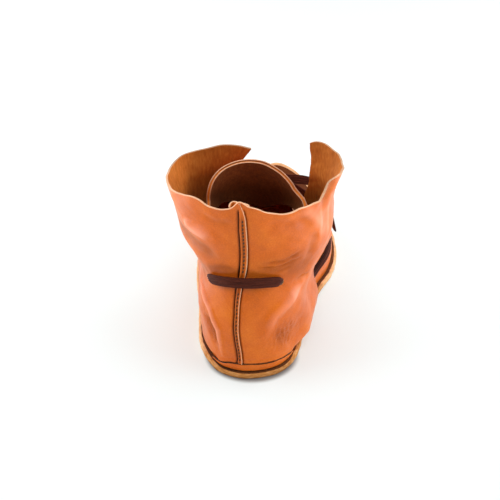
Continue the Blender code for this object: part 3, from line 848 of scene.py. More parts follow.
@dataclass
class Last:
    """The foot-shaped form and the leather sizes that every piece is read from."""

    sole_thick: float = 5.0
    gap: float = 0.3
    leather: float = 1.5
    rand_thick: float = 1.6
    margin: float = 2.8
    bulge_inset: float = 2.3
    step_from: float = 1.2
    step_to: float = 4.2
    wall_level: float = 14.5
    # On the right the soft upper sags out over the sole: how far, along the shoe and by height.
    sag_most: float = 8.0
    sag_along: tuple[Point, Point] = ((-18.0, 11.0), (46.0, 88.0))
    sag_high: tuple[Point, Point] = ((0.6, 8.0), (18.0, 46.0))
    # Between these heights, off the sole and off the floor, the foot's outline gives way to the sections.
    blend_from: float = 6.5
    blend_to: float = 44.0
    smooth_rounds: int = 4
    toe_from: float = 168.0
    toe_run: float = 92.0
    toe_angle: float = math.radians(78.0)
    toe_power: float = 1.7
    levels: int = 240
    half: int = 141
    fine: int = 2400
    feather: float = field(init=False)
    upper_inset: float = field(init=False)
    vamp_inset: float = field(init=False)
    foot_reach: tuple[float, float] = field(init=False)
    heights: Array = field(init=False)
    rounds: Array = field(init=False)
    table: Array = field(init=False)

    def __post_init__(self) -> None:
        """Works out the shaft's level sections once."""
        self.feather = self.sole_thick + self.gap
        self.upper_inset = self.margin + self.rand_thick + self.gap
        self.vamp_inset = self.upper_inset + self.leather + self.gap
        self.heights = np.linspace(self.feather, SHAFT_SECTIONS.rows[-1][0], self.levels)
        self.rounds = np.linspace(-1.0, 1.0, 2 * self.half - 1)
        self.table = self.sections()
        steps = np.linalg.norm(np.diff(self.table[0], axis=0), axis=1)
        self.foot_reach = (float(steps[: self.half - 1].sum()), float(steps[self.half - 1 :].sum()))

    def sides(self, outline: Table, tip: Point, inset: float, count: int = 600) -> tuple[Array, Array]:
        """Reads the left and right edges of an outline.

        Args:
            outline: Table of the outline.
            tip: Its toe point.
            inset: How far inward the edges move.
            count: Points to each side.

        Returns:
            Plan points of the left and the right side, from heel to toe.
        """
        along = outline.column("along")
        left = np.stack([outline.column("left"), along], axis=1)
        right = np.stack([outline.column("right"), along], axis=1)
        steps = 24
        curve = through(np.concatenate([[HEEL_POINT], right, [tip], left[::-1]]), steps, closed=True)
        ahead = unit(np.roll(curve, -1, axis=0) - np.roll(curve, 1, axis=0))
        curve = curve + np.stack([-ahead[:, 1], ahead[:, 0]], axis=1) * inset
        half = (len(right) + 1) * steps
        back = np.concatenate([curve[half:], curve[:1]])[::-1]
        return spread(back, count), spread(curve[: half + 1], count)

    def rand_height(self, along: Array | float) -> Array:
        """Height of the rand at distances along the outline from the heel point, left below 0."""
        along, keys = np.asarray(along, float), RAND.column("along")
        beside = (along < keys[0]) | (along > keys[-1])
        return np.where(beside, 0.0, RAND.read("height", along))

    def sag(self, along: Array, height: Array | float) -> Array:
        """How far the upper sags out on the right.

        Args:
            along: Places along the shoe.
            height: Heights off the sole.

        Returns:
            The distance at each place.
        """
        (back, front), (foot, top) = self.sag_along, self.sag_high
        return self.sag_most * between(along, back, front) * between(height, foot, top)

    def bend(self, points: Array) -> Array:
        """Turns the flat shoe's toe up.

        Args:
            points: Points of the flat shoe.

        Returns:
            The points with everything past toe_from turned up round the toe's curve.
        """
        points = np.array(points, float)
        run = np.linspace(0.0, self.toe_run * 1.1, 400)
        angle = self.toe_angle * (run / self.toe_run) ** self.toe_power
        step = run[1] - run[0]
        half_way = (angle[1:] + angle[:-1]) / 2
        forward = np.concatenate([[0.0], np.cumsum(np.cos(half_way)) * step])
        upward = np.concatenate([[0.0], np.cumsum(np.sin(half_way)) * step])
        past = np.clip(points[..., 1] - self.toe_from, 0.0, run[-1])
        tilt = np.interp(past, run, angle)
        height = points[..., 2].copy()
        base = np.minimum(points[..., 1], self.toe_from)
        points[..., 1] = base + np.interp(past, run, forward) - height * np.sin(tilt)
        points[..., 2] = np.interp(past, run, upward) + height * np.cos(tilt)
        return points

    def quarter(self, start: Point, side: Point, front: Point, heading: Point) -> Array:
        """Draws one side of a level section of the shaft.

        Args:
            start: Plan point at the back.
            side: Widest point.
            front: Front edge.
            heading: Way that the leather runs there.

        Returns:
            Plan points from the back, by an arc to the widest point, to the front edge.
        """
        hold = 0.56
        back, middle, end = np.array(start), np.array(side), np.array(front)
        reach = 0.4 * np.linalg.norm(end - middle)
        first = (
            back,
            back + (hold * (side[0] - start[0]), 0.0),
            middle - (0.0, hold * (side[1] - start[1])),
            middle,
        )
        second = (middle, middle + (0.0, reach), end - np.array(heading) * reach, end)
        t = np.linspace(0.0, 1.0, 120)[:, None]
        weights = ((1 - t) ** 3, 3 * t * (1 - t) ** 2, 3 * t * t * (1 - t), t**3)
        arcs = [sum(w * p for w, p in zip(weights, points)) for points in (first, second)]
        return np.concatenate([arcs[0], arcs[1][1:]])

    def sections(self) -> Array:
        """Plan points of the shaft's outside at every height, from left front to right front."""
        table = np.zeros((self.levels, 2 * self.half - 1, 2))
        feet = [
            self.sides(UPPER_OUTLINE, UPPER_TIP, inset, self.fine)
            for inset in (self.upper_inset, self.bulge_inset)
        ]
        names = SHAFT_SECTIONS.columns
        for i, height in enumerate(self.heights):
            row = {name: float(SHAFT_SECTIONS.read(name, height)) for name in names}
            rise = float(ease(height, self.feather + self.blend_from, self.blend_to))
            for number, side in enumerate(("left", "right")):
                outward = (-1.0, 1.0)[number]
                aim = math.radians(row[side + "_aim"])
                heading = (outward * math.sin(aim), math.cos(aim))
                front = (row[side + "_front"], row[side + "_reach"])
                widest = (row[side + "_side"], row[side + "_at"])
                above = spread(self.quarter((0.0, row["back"]), widest, front, heading), self.half)
                low, high = feet[0][number], feet[1][number]
                top = self.feather + self.rand_height(outward * distances(low))
                swell = ease(height, top + self.step_from, top + self.step_to)[:, None]
                foot = (1 - swell) * low + swell * high
                foot = spread(foot[foot[:, 1] <= front[1]], self.half)
                line = (1 - rise) * foot + rise * above
                if number:
                    line[:, 0] += self.sag(line[:, 1], height - self.feather)
                    table[i, self.half - 1 :] = line
                else:
                    table[i, : self.half] = line[::-1]
        for _ in range(self.smooth_rounds):
            table[1:-1] = (table[:-2] + 2 * table[1:-1] + table[2:]) / 4
            table[:, 1:-1] = (table[:, :-2] + 2 * table[:, 1:-1] + table[:, 2:]) / 4
        return table

    def on_shaft(self, round_at: Array | float, height: Array | float) -> Array:
        """Finds points on the shaft's outside.

        Args:
            round_at: Places round it, from -1 to 1.
            height: Heights.

        Returns:
            The points.
        """
        round_at, height = np.broadcast_arrays(np.asarray(round_at, float), np.asarray(height, float))
        i = (height - self.heights[0]) / (self.heights[1] - self.heights[0])
        j = (round_at + 1.0) / (self.rounds[1] - self.rounds[0])
        i0 = np.clip(i.astype(int), 0, self.levels - 2)
        j0 = np.clip(j.astype(int), 0, len(self.rounds) - 2)
        a = np.clip(i - i0, 0.0, 1.0)[..., None]
        b = np.clip(j - j0, 0.0, 1.0)[..., None]
        low = self.table[i0, j0] * (1 - b) + self.table[i0, j0 + 1] * b
        high = self.table[i0 + 1, j0] * (1 - b) + self.table[i0 + 1, j0 + 1] * b
        return lift(low * (1 - a) + high * a, height)

    def out_of_shaft(self, round_at: Array | float, height: Array | float) -> Array:
        """Outward unit normals of the shaft, for the same places as on_shaft."""
        step, tall = 0.02, 2.0
        round_at, height = np.broadcast_arrays(np.asarray(round_at, float), np.asarray(height, float))
        sideways = self.on_shaft(np.minimum(round_at + step, 1.0), height)
        sideways = sideways - self.on_shaft(np.maximum(round_at - step, -1.0), height)
        upward = self.on_shaft(round_at, height + tall)
        upward = upward - self.on_shaft(round_at, np.maximum(height - tall, self.feather))
        return unit(np.cross(sideways, upward))


def deselect() -> None:
    """Leaves edit mode and deselects everything."""
    if bpy.context.object and bpy.context.object.mode != "OBJECT":
        bpy.ops.object.mode_set(mode="OBJECT")
    bpy.ops.object.select_all(action="DESELECT")


def sheet_of(name: str, grid: Array, marks: dict[str, Array] | None = None) -> bpy.types.Object:
    """Adds a grid and shapes it to points.

    Args:
        name: Name of the piece.
        grid: Points in rows and columns, in millimetres.
        marks: Named values for the points, kept as attributes for the material.

    Returns:
        The piece, an open sheet.
    """
    deselect()
    rows, columns = grid.shape[:2]
    bpy.ops.mesh.primitive_grid_add(x_subdivisions=columns - 1, y_subdivisions=rows - 1, size=1.0)
    made = bpy.context.object
    made.name = made.data.name = name
    made.data.vertices.foreach_set("co", (grid * MM).ravel())
    for key, values in (marks or {}).items():
        kept = made.data.attributes.new(key, "FLOAT", "POINT")
        kept.data.foreach_set("value", np.ascontiguousarray(values, dtype=np.float32).ravel())
    made.data.update()
    bpy.ops.object.shade_smooth()
    return made


def close_up(piece: bpy.types.Object) -> None:
    """Merges the points of a sheet that meet and turns its faces outward.

    Args:
        piece: The sheet, whose edges lie on each other.
    """
    deselect()
    bpy.context.view_layer.objects.active = piece
    bpy.ops.object.mode_set(mode="EDIT")
    bpy.ops.mesh.select_all(action="SELECT")
    bpy.ops.mesh.remove_doubles(threshold=MERGED * MM)
    bpy.ops.mesh.dissolve_degenerate(threshold=VANISHING * MM)
    bpy.ops.mesh.select_all(action="SELECT")
    bpy.ops.mesh.normals_make_consistent(inside=False)
    bpy.ops.object.mode_set(mode="OBJECT")


def thicken(
    piece: bpy.types.Object, thick: float, finishes: tuple[Finish, ...], soften: float = 0.35
) -> None:
    """Gives a sheet its finishes and its wall, and softens the wall's edges.

    Args:
        piece: The sheet; its own faces stay where they are and the wall grows inward.
        thick: Thickness, in millimetres.
        finishes: Those of its own faces, of the faces behind them and of the edge.
        soften: Width of the softened edge.
    """
    for finish in finishes:
        piece.data.materials.append(finish.material())
    deselect()
    bpy.context.view_layer.objects.active = piece
    piece.select_set(True)
    solid = piece.modifiers.new("wall", "SOLIDIFY")
    solid.thickness = thick * MM
    solid.offset = -1.0
    solid.use_even_offset = False
    solid.material_offset = 1
    solid.material_offset_rim = 2
    bpy.ops.object.modifier_apply(modifier=solid.name)
    if soften:
        edge = piece.modifiers.new("edge", "BEVEL")
        edge.width = soften * MM
        edge.segments = 2
        edge.limit_method = "ANGLE"
        edge.angle_limit = math.radians(55.0)
        bpy.ops.object.modifier_apply(modifier=edge.name)


def join(name: str, parts: list[bpy.types.Object]) -> bpy.types.Object:
    """Joins meshes to one piece with a name."""
    deselect()
    for part in parts:
        part.select_set(True)
    bpy.context.view_layer.objects.active = parts[0]
    if len(parts) > 1:
        bpy.ops.object.join()
    parts[0].name = parts[0].data.name = name
    return parts[0]


def finished(
    piece: bpy.types.Object, finishes: tuple[Finish, ...] = (), nodes: tuple[str, ...] = ()
) -> bpy.types.Object:
    """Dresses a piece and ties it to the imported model.

    Args:
        piece: The piece.
        finishes: Its finishes in the order of its material numbers, where it has none yet.
        nodes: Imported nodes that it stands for.

    Returns:
        The piece.
    """
    for finish in finishes:
        piece.data.materials.append(finish.material())
    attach(piece, "root")
    if nodes:
        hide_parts(*nodes)
    piece.data.calc_loop_triangles()
    LOG.info("%s: %d triangles", piece.name, len(piece.data.loop_triangles))
    return piece


@dataclass
class Thong:
    """The flat leather lace: bar, runs, tied knot and two free ends."""

    last: Last
    width: float = 7.9
    thick: float = 2.0
    rib: float = 0.22
    ribs: int = 4
    face_points: int = 29
    end_round: float = 0.14
    # Each end of the bar dives into its hole by two steps: how far on and how far in, in millimetres, and
    # how much it still faces out.
    dives: tuple[Point, Point] = ((0.2, 1.2, 1.0), (0.3, 4.6, 0.2))
    bar_ends: int = 3
    # The knot: slant and share of the full size of each wrap, half its depth and height, and how far the
    # strands of the runs and of the ends lie in front of its middle.
    wraps: tuple[Point, Point] = ((0.34, 1.0), (-0.5, 0.86))
    wrap_depth: float = 3.7
    wrap_height: float = 5.9
    wrap_slant: float = 6.0
    wrap_gap: float = 3.0
    run_rise: float = -1.7
    end_rise: float = 1.6

    def section(self) -> Array:
        """Outline of the thong's section: two ribbed faces with rounded edges.

        Returns:
            Places across and up, all the way round, as shares of half the width and thickness.
        """
        across = -np.cos(np.linspace(0.0, math.pi, self.face_points))
        across = 0.5 * across + 0.5 * np.linspace(-1.0, 1.0, self.face_points)
        full = np.maximum(1.0 - np.abs(across) ** 5, 0.0) ** 0.5
        ribs = self.rib * np.cos(across * math.pi * self.ribs) * full / (self.thick / 2)
        face = np.stack([across, full * (1 - self.rib) + ribs], axis=1)
        under = face[::-1][1:] * (1.0, -1.0)
        return np.concatenate([face, under])

    def strip(
        self, name: str, path: Array, facing: Array, taper: Array | None = None, hidden: float = 0.0
    ) -> bpy.types.Object:
        """Sweeps the section along a path, with closed ends.

        Args:
            name: Name of the piece.
            path: Middle line, in millimetres.
            facing: Way that the flat face looks at each point.
            taper: Share of the full width at each point.
            hidden: Share of its length, from the start, whose back edge is painted with shadow.

        Returns:
            The closed strip.
        """
        ahead = unit(np.gradient(path, axis=0))
        side = unit(np.cross(ahead, facing))
        face = np.cross(side, ahead)
        taper = np.ones(len(path)) if taper is None else taper
        shape = self.section()
        half = self.width / 2 * taper[:, None, None]
        body = path[:, None] + side[:, None] * (half * shape[None, :, :1])
        grid = body + face[:, None] * (self.thick / 2 * shape[None, :, 1:])
        grid[0] += self.end_round * ahead[0]
        grid[-1] -= self.end_round * ahead[-1]
        grid = np.concatenate([body[:1], grid, body[-1:]])
        # Painted shadow of the flap along the back edge of its first stretch.
        start = 1.0 - ease(np.linspace(0.0, 1.0, len(grid)), hidden - 0.15, hidden + 0.05)
        shade = 0.6 * start[:, None] * (1.0 - ease(shape[None, :, 0], -0.45, 0.25)) * (hidden > 0)
        made = sheet_of(name, grid, {"shade": shade})
        close_up(made)
        return made

    def bar(self) -> None:
        """The stretch outside across the heel, which dives into a hole at each end."""
        places = through(BAR_ROWS, 12)
        places = spread(places * (100.0, 1.0, 1.0), 70) / (100.0, 1.0, 1.0)
        away = self.last.out_of_shaft(places[:, 0], places[:, 1])
        path = self.last.on_shaft(places[:, 0], places[:, 1])
        path = path + away * (places[:, 2:3] + self.thick / 2)
        ends = []
        for end, ahead in ((0, unit(path[0] - path[1])), (-1, unit(path[-1] - path[-2]))):
            for on, inward, faces in self.dives:
                place = path[end] + on * ahead - inward * away[end]
                ends.append(np.concatenate([place, away[end] * faces + ahead]))
        outside = np.concatenate([path, away], axis=1)[self.bar_ends : -self.bar_ends]
        line = spread(through(np.concatenate([ends[1::-1], outside, ends[2:]]), 3), 110)
        reach = np.linspace(0.0, 1.0, len(line))
        taper = 0.42 + 0.58 * ease(reach, 0.02, 0.16) * ease(1.0 - reach, 0.02, 0.14)
        made = self.strip("heel_bar_thong", line[:, :3], line[:, 3:], taper)
        finished(made, (THONG,), ("lace_heel_bar",))

    def inside(self) -> None:
        """The two stretches inside the shaft, from the heel holes to the front flaps."""
        for side, rows in (("left", INNER_LEFT_ROWS), ("right", INNER_RIGHT_ROWS)):
            places = through(rows, 10)
            away = self.last.out_of_shaft(places[:, 0], places[:, 1])
            deep = self.last.leather + self.thick / 2 + 0.9
            path = self.last.on_shaft(places[:, 0], places[:, 1]) - away * deep
            line = spread(np.concatenate([path, away], axis=1), 60)
            made = self.strip(f"inner_thong_{side}", line[:, :3], line[:, 3:])
            finished(made, (THONG,))

    def runs(self) -> None:
        """The two stretches in front, from under the flaps up to the knot."""
        routes = {"left": TUCK_LEFT_ROWS + RUN_LEFT_ROWS, "right": TUCK_RIGHT_ROWS + RUN_RIGHT_ROWS}
        for side, rows in routes.items():
            line = spread(through(rows, 14), 90)
            made = self.strip(f"front_thong_{side}", line[:, :3], line[:, 3:], hidden=0.45)
            finished(made, (THONG,), (f"lace_run_{side}",))

    def knot(self) -> bpy.types.Object:
        """Ties the knot on the instep: a tight wrap with the four strands coming out of it.

        Returns:
            The knot as one piece.
        """
        middle = np.array(KNOT_MIDDLE)
        sideways = np.array((1.0, 0.0, 0.0))
        outward = unit(np.array((0.08, 0.9, 0.42)))
        upward = unit(np.cross(sideways, outward))
        parts = []
        for number, (slant, reach) in enumerate(self.wraps):
            t = np.linspace(0.0, 2 * math.pi, 61)[:, None]
            round_way = np.cos(t) * outward * self.wrap_depth * reach
            round_way = round_way + np.sin(t) * upward * self.wrap_height * reach
            beside = slant * self.wrap_slant * np.sin(t) + (number - 0.5) * self.wrap_gap
            path = middle + round_way + sideways * beside
            parts.append(self.strip(f"wrap_{number}", path, unit(round_way)))
        strands = (
            (RUN_RIGHT_ROWS[-1], RUN_RIGHT_ROWS[-2], self.run_rise),
            (RUN_LEFT_ROWS[-1], RUN_LEFT_ROWS[-2], self.run_rise),
            (END_RIGHT_ROWS[0], END_RIGHT_ROWS[1], self.end_rise),
            (END_LEFT_ROWS[0], END_LEFT_ROWS[1], self.end_rise),
        )
        for number, (start, before, rise) in enumerate(strands):
            start, before = np.array(start), np.array(before)
            goal = np.concatenate([middle + outward * rise, outward])
            first = start + 0.12 * (before - start)
            halfway = 0.5 * (start + goal)
            halfway[:3] += 0.8 * outward
            line = spread(through(np.array([first, start, halfway, goal]), 8), 24)
            parts.append(self.strip(f"strand_{number}", line[:, :3], line[:, 3:]))
        made = join("tied_knot", parts)
        return finished(made, (THONG,), ("lace_knot",))

    def ends(self, knot: bpy.types.Object) -> None:
        """The two free ends, which hang from the knot over the vamp.

        Args:
            knot: The knot that they leave; not used.
        """
        for side, rows in (("right", END_RIGHT_ROWS), ("left", END_LEFT_ROWS)):
            line = spread(through(rows, 14), 64)
            made = self.strip(f"loose_end_{side}", line[:, :3], line[:, 3:])
            finished(made, (THONG,), (f"lace_end_{side}",))

    def build(self) -> None:
        """Builds the whole lace, its cords first."""
        self.ends(self.knot())
        self.runs()
        self.bar()
        self.inside()


@dataclass(frozen=True)
class Fold:
    """A ridge or trough that the leather keeps, which also paints shade into its trough or light onto its
    ridge, or a streak of painted light or shade.

    Attributes:
        rise: Height in millimetres, below 0 for a trough.
        wide: Its reach to each side.
        line: Places round the shaft and heights that it passes.
        coarse: How much it coarsens the grain.
        tone: How much painted light it adds beyond what its height alone paints, below 0 for painted shade.
    """

    rise: float
    wide: float
    line: tuple[tuple[float, float], ...]
    coarse: float = 0.0
    tone: float = 0.0

    def shape(self, u: Array, z: Array) -> Array:
        """Works out the fold's share, from 0 to 1, over a surface.

        Args:
            u: Places round the surface, in millimetres.
            z: Heights.

        Returns:
            The share at each place.
        """
        points = np.array([(r * girth(h), h) for r, h in self.line])
        lengths = np.linalg.norm(np.diff(points, axis=0), axis=1)
        total, done = lengths.sum(), 0.0
        near = np.full(u.shape, 1e9)
        along = np.zeros(u.shape)
        for a, b, length in zip(points, points[1:], lengths):
            span = (b - a) / length
            t = np.clip((u - a[0]) * span[0] + (z - a[1]) * span[1], 0.0, length)
            far = np.hypot(u - a[0] - t * span[0], z - a[1] - t * span[1])
            closer = far < near
            near = np.where(closer, far, near)
            along = np.where(closer, (done + t) / total, along)
            done += length
        fade = 0.3 + 0.7 * ease(along, 0.0, 0.25) * ease(1.0 - along, 0.0, 0.25)
        return fade * bell(near, self.wide)


def girth(height: Array | float) -> Array:
    """Millimetres round the shaft for one unit of place, at a height."""
    return 100.0 + 0.7 * np.maximum(np.asarray(height, float) - 40.0, 0.0)


def unevenness(u: Array, z: Array) -> Array:
    """The shaft leather's own soft unevenness in millimetres, at places round it and heights."""
    return 0.35 * waves(u, z, 26.0, 5) + 0.16 * waves(u, z, 8.0, 11)


# Folds of the shaft, whose heights also paint shade and light. Those with no rise are only painted light or
# painted shade.
FOLDS = (
    Fold(
        1.6,
        2.3,
        ((-0.468, 59.4), (-0.34, 56.2), (-0.242, 49.4), (-0.17, 37.8), (-0.165, 16.2)),
        tone=0.7,
    ),
    Fold(-1.9, 5.0, ((-0.33, 44.0), (-0.255, 33.0), (-0.235, 19.0)), coarse=0.7),
    Fold(1.9, 4.6, ((0.443, 66.4), (0.397, 58.0), (0.305, 53.6), (0.245, 50.2), (0.167, 36.0)), tone=-1.4),
    Fold(0.0, 8.0, ((0.47, 64.0), (0.37, 58.5)), tone=2.0),
    Fold(0.6, 10.0, ((0.5, 36.0), (0.56, 44.0), (0.6, 52.0)), tone=-0.8),
    Fold(-0.9, 9.0, ((0.228, 30.0), (0.35, 28.8), (0.46, 27.0)), coarse=1.0),
    Fold(-1.3, 1.6, ((0.09, 88.0), (0.163, 86.5), (0.205, 86.5), (0.245, 87.9), (0.3, 89.3))),
    Fold(-0.9, 1.3, ((0.1, 91.5), (0.2, 91.0), (0.25, 92.5), (0.3, 95.0))),
    Fold(-0.8, 1.2, ((0.15, 84.0), (0.21, 83.6), (0.28, 85.6))),
    Fold(-1.2, 2.2, ((0.367, 71.8), (0.448, 71.2), (0.558, 68.0))),
    Fold(2.0, 3.8, ((-0.307, 112.9), (-0.24, 110.5), (-0.132, 109.5))),
    Fold(-1.5, 5.5, ((-0.46, 103.0), (-0.36, 98.5), (-0.25, 97.0), (-0.17, 94.5), (-0.1, 91.0)), tone=-1.5),
    Fold(-0.5, 3.0, ((-0.232, 79.5), (-0.103, 85.0), (-0.015, 86.5)), tone=-2.0),
    Fold(0.0, 5.0, ((0.05, 90.5), (0.16, 92.0), (0.27, 93.0), (0.36, 92.0)), tone=-1.4),
    Fold(0.0, 12.0, ((-0.2, 122.0), (-0.12, 112.0)), tone=0.6),
    Fold(0.0, 8.0, ((-0.6, 119.0), (-0.5, 109.0), (-0.42, 102.0)), tone=-1.1),
    Fold(0.0, 7.0, ((0.22, 84.0), (0.33, 82.5), (0.47, 78.5)), tone=-2.9),
    Fold(0.0, 7.0, ((-0.44, 69.0), (-0.33, 74.0), (-0.22, 80.0)), tone=-2.9),
    Fold(0.0, 2.8, ((-0.2, 69.5), (-0.09, 72.0), (0.0, 72.8), (0.1, 73.0), (0.2, 72.0)), tone=-3.0),
    Fold(0.0, 3.2, ((-0.2, 80.0), (-0.1, 83.4), (0.0, 84.4), (0.12, 84.4), (0.22, 82.8)), tone=-2.4),
    Fold(0.25, 1.6, ((0.44, 128.0), (0.45, 112.0), (0.44, 96.0)), tone=1.2),
    Fold(0.25, 2.2, ((0.52, 126.0), (0.53, 110.0), (0.52, 94.0)), tone=1.6),
    Fold(0.0, 9.0, ((0.47, 126.0), (0.47, 108.0), (0.48, 92.0)), tone=1.2),
    Fold(-1.0, 5.0, ((0.105, 125.9), (0.215, 120.1), (0.357, 119.9)), tone=1.3),
    Fold(0.0, 6.0, ((0.08, 127.0), (0.2, 125.0), (0.36, 127.0)), tone=0.7),
    Fold(1.0, 5.0, ((0.278, 135.1), (0.367, 121.9), (0.46, 104.1))),
    Fold(-0.7, 3.0, ((-0.167, 125.3), (-0.1, 122.9), (-0.027, 123.7))),
    Fold(-1.0, 4.0, ((0.423, 105.1), (0.377, 95.7), (0.37, 84.1))),
    Fold(-1.9, 4.5, ((0.485, 160.0), (0.47, 140.0), (0.45, 122.0))),
)


@dataclass
class Shaft:
    """The two quarters sewn at the heel, with the lapped seam, its stitches and its loose tops."""

    last: Last
    columns: int = 108
    strip_columns: int = 7
    rows: int = 124
    foot_rows: int = 28
    crowd: float = 1.35
    holes: tuple[tuple[float, float, float], ...] = ((-0.236, 72.4, 2.4), (0.248, 74.6, 2.7))
    curl_tall: float = 11.0
    curl_foot: float = -31.0
    curl_thick: float = 1.2
    deepen: float = 1.5
    hang: float = 2.2
    wrinkled: float = 0.45
    # The groove on the left of the seam and the shadow on its right: place off the strip's edge, width and
    # depth, in millimetres, and how dark their painted shade is. Both run between these heights.
    groove: Point = (-0.3, 1.0, 0.9, 1.05)
    shadow: Point = (0.45, 0.6, 0.6, 0.8)
    seam_run: tuple[Point, Point] = ((11.0, 13.0), (132.5, 136.5))
    # The flaps stand off the vamp near their front edges, between these heights, more on the left.
    flare_run: tuple[Point, Point] = ((30.0, 48.0), (70.0, 86.0))
    flare_left: float = 1.8
    flare_right: float = 0.2
    # The lap over the seam: its places across, and its rise at some of them.
    lap_foot: float = 12.6
    lap_rows: int = 170
    lap_thick: float = 1.0
    lap_places: Point = (0.0, 0.08, 0.17, 0.28, 0.4, 0.5, 0.6, 0.68, 0.75, 0.82, 0.9, 0.95, 1.0)
    lap_rise: tuple[Point, Point] = ((0.0, 0.17, 0.4, 0.75, 0.9, 1.0), (-0.45, 0.5, 0.7, 0.75, 1.2, 1.1))
    raw_from: float = 0.88
    # The stitches run up the lap, and stop where the bar of lace covers it.
    stitch_run: Point = (16.2, 129.0)
    stitch_gap: Point = (71.0, 85.5)
    stitch_pitch: float = 2.9
    stitch_half: Point = (1.15, 0.6, 0.28)
    stitch_rise: float = 0.86

    def places(self) -> tuple[Array, Array]:
        """Places round the shaft and heights of its grid, crowded towards the heel seam.

        Returns:
            Two arrays of the same shape, rows from the foot to the collar.
        """
        last = self.last
        wall_from = last.feather + last.wall_level
        foot = np.linspace(last.feather, wall_from, self.foot_rows, endpoint=False)
        share = np.linspace(0.0, 1.0, self.rows)
        top = float(RIM.read("height", 0.0))
        level = np.concatenate([foot, wall_from + share * (top - wall_from)])
        middle, half = SEAM.read("middle", level)[:, None], SEAM.read("half", level)[:, None]
        t = np.linspace(0.0, 1.0, self.columns)[None, :]
        near = 1.0 - (1.0 - t) ** self.crowd
        left = -1.0 + (middle - half + 1.0) * near
        right = (1.0 - (1.0 - middle - half) * near)[:, ::-1]
        inner = np.linspace(-1.0, 1.0, self.strip_columns + 2)[None, 1:-1]
        across = np.concatenate([left, middle + half * inner, right], axis=1)
        heights = np.repeat(level[:, None], across.shape[1], axis=1)
        rim = RIM.read("height", across[self.foot_rows :])
        heights[self.foot_rows :] = wall_from + share[:, None] * (rim - wall_from)
        return across, heights

    def relief(self, across: Array, heights: Array) -> dict[str, Array]:
        """Works out the folds and seam lines over the shaft, and the light and shade painted with them.

        Args:
            across: Places round it.
            heights: Heights.

        Returns:
            The lift of each point in millimetres, with its marks for the material, most of which paint
            light and shade.
        """
        u = across * girth(heights)
        bent, crease, coarse = (np.zeros(u.shape) for _ in range(3))
        for fold in FOLDS:
            share = fold.shape(u, heights)
            bent += self.deepen * fold.rise * share
            # The crease mark paints shade and light by each fold's height and tone.
            crease += (self.deepen * fold.rise + fold.tone) * share
            coarse = np.maximum(coarse, fold.coarse * share)
        soft = unevenness(u, heights) + self.wrinkled * coarse * waves(u, heights, 3.8, 17)
        middle, half = SEAM.read("middle", heights), SEAM.read("half", heights)
        sunk, shade = np.zeros(u.shape), np.zeros(u.shape)
        # Painted shade in the groove, and a painted shadow beside the lap's raw edge.
        for edge, (shift, wide, deep, dark) in ((middle - half, self.groove), (middle + half, self.shadow)):
            line = bell(u - edge * girth(heights) - shift, wide)
            sunk += deep * line
            shade += dark * line
        seam = between(heights, *self.seam_run)
        shade = np.clip(shade, 0.0, 1.0) * seam
        flare = between(heights, *self.flare_run) * np.where(across < 0, self.flare_left, self.flare_right)
        flare = flare * ease(np.abs(across), 0.8, 1.0)
        # The flaps' rims are drawn darker.
        shade[-1] += 0.42 * ease(-across[-1], 0.5, 0.65) + 0.3 * ease(across[-1], 0.52, 0.62)
        tall = self.rand_beside(across)
        # Painted shade in the gap above the rand's top edge.
        rand_gap_shade = bell(heights - self.last.feather - tall - 0.4, 0.5) * ease(tall, 0.8, 3.0)
        # Inside, shade is painted low down, and on both flaps next to the tongue.
        low = 0.58 * (1.0 - ease(heights, 84.0, 120.0))
        flaps = 0.34 * ease(-across, 0.7, 0.78) * ease(heights, 88.0, 112.0)
        flaps = flaps + 0.2 * ease(across, 0.58, 0.72)
        return {
            "lift": (bent + soft) * ease(heights, 8.0, 13.0) - sunk * seam + flare,
            "crease": crease,
            "coarse": coarse,
            "shade": np.maximum(shade, 0.75 * rand_gap_shade),
            "inner_shade": low + flaps,
        }

    def rand_beside(self, across: Array) -> Array:
        """Height of the rand at places round the shaft."""
        return self.last.rand_height(across * np.where(across < 0, *self.last.foot_reach))

    def over_rand(self, across: Array, heights: Array) -> Array:
        """How far the soft leather hangs out over the rand's top edge.

        Args:
            across: Places round the shaft.
            heights: Heights.

        Returns:
            The way out, level, in millimetres.
        """
        last = self.last
        tall = self.rand_beside(across)
        top = last.feather + tall
        tucked = 1.0 - ease(heights, top + last.step_from, top + last.step_to)
        over = self.hang * tucked * ease(heights, top + 0.1, top + 0.6) * ease(tall, 0.8, 3.0)
        out = unit(last.out_of_shaft(across, heights) * (1.0, 1.0, 0.0))
        return out * over[..., None]

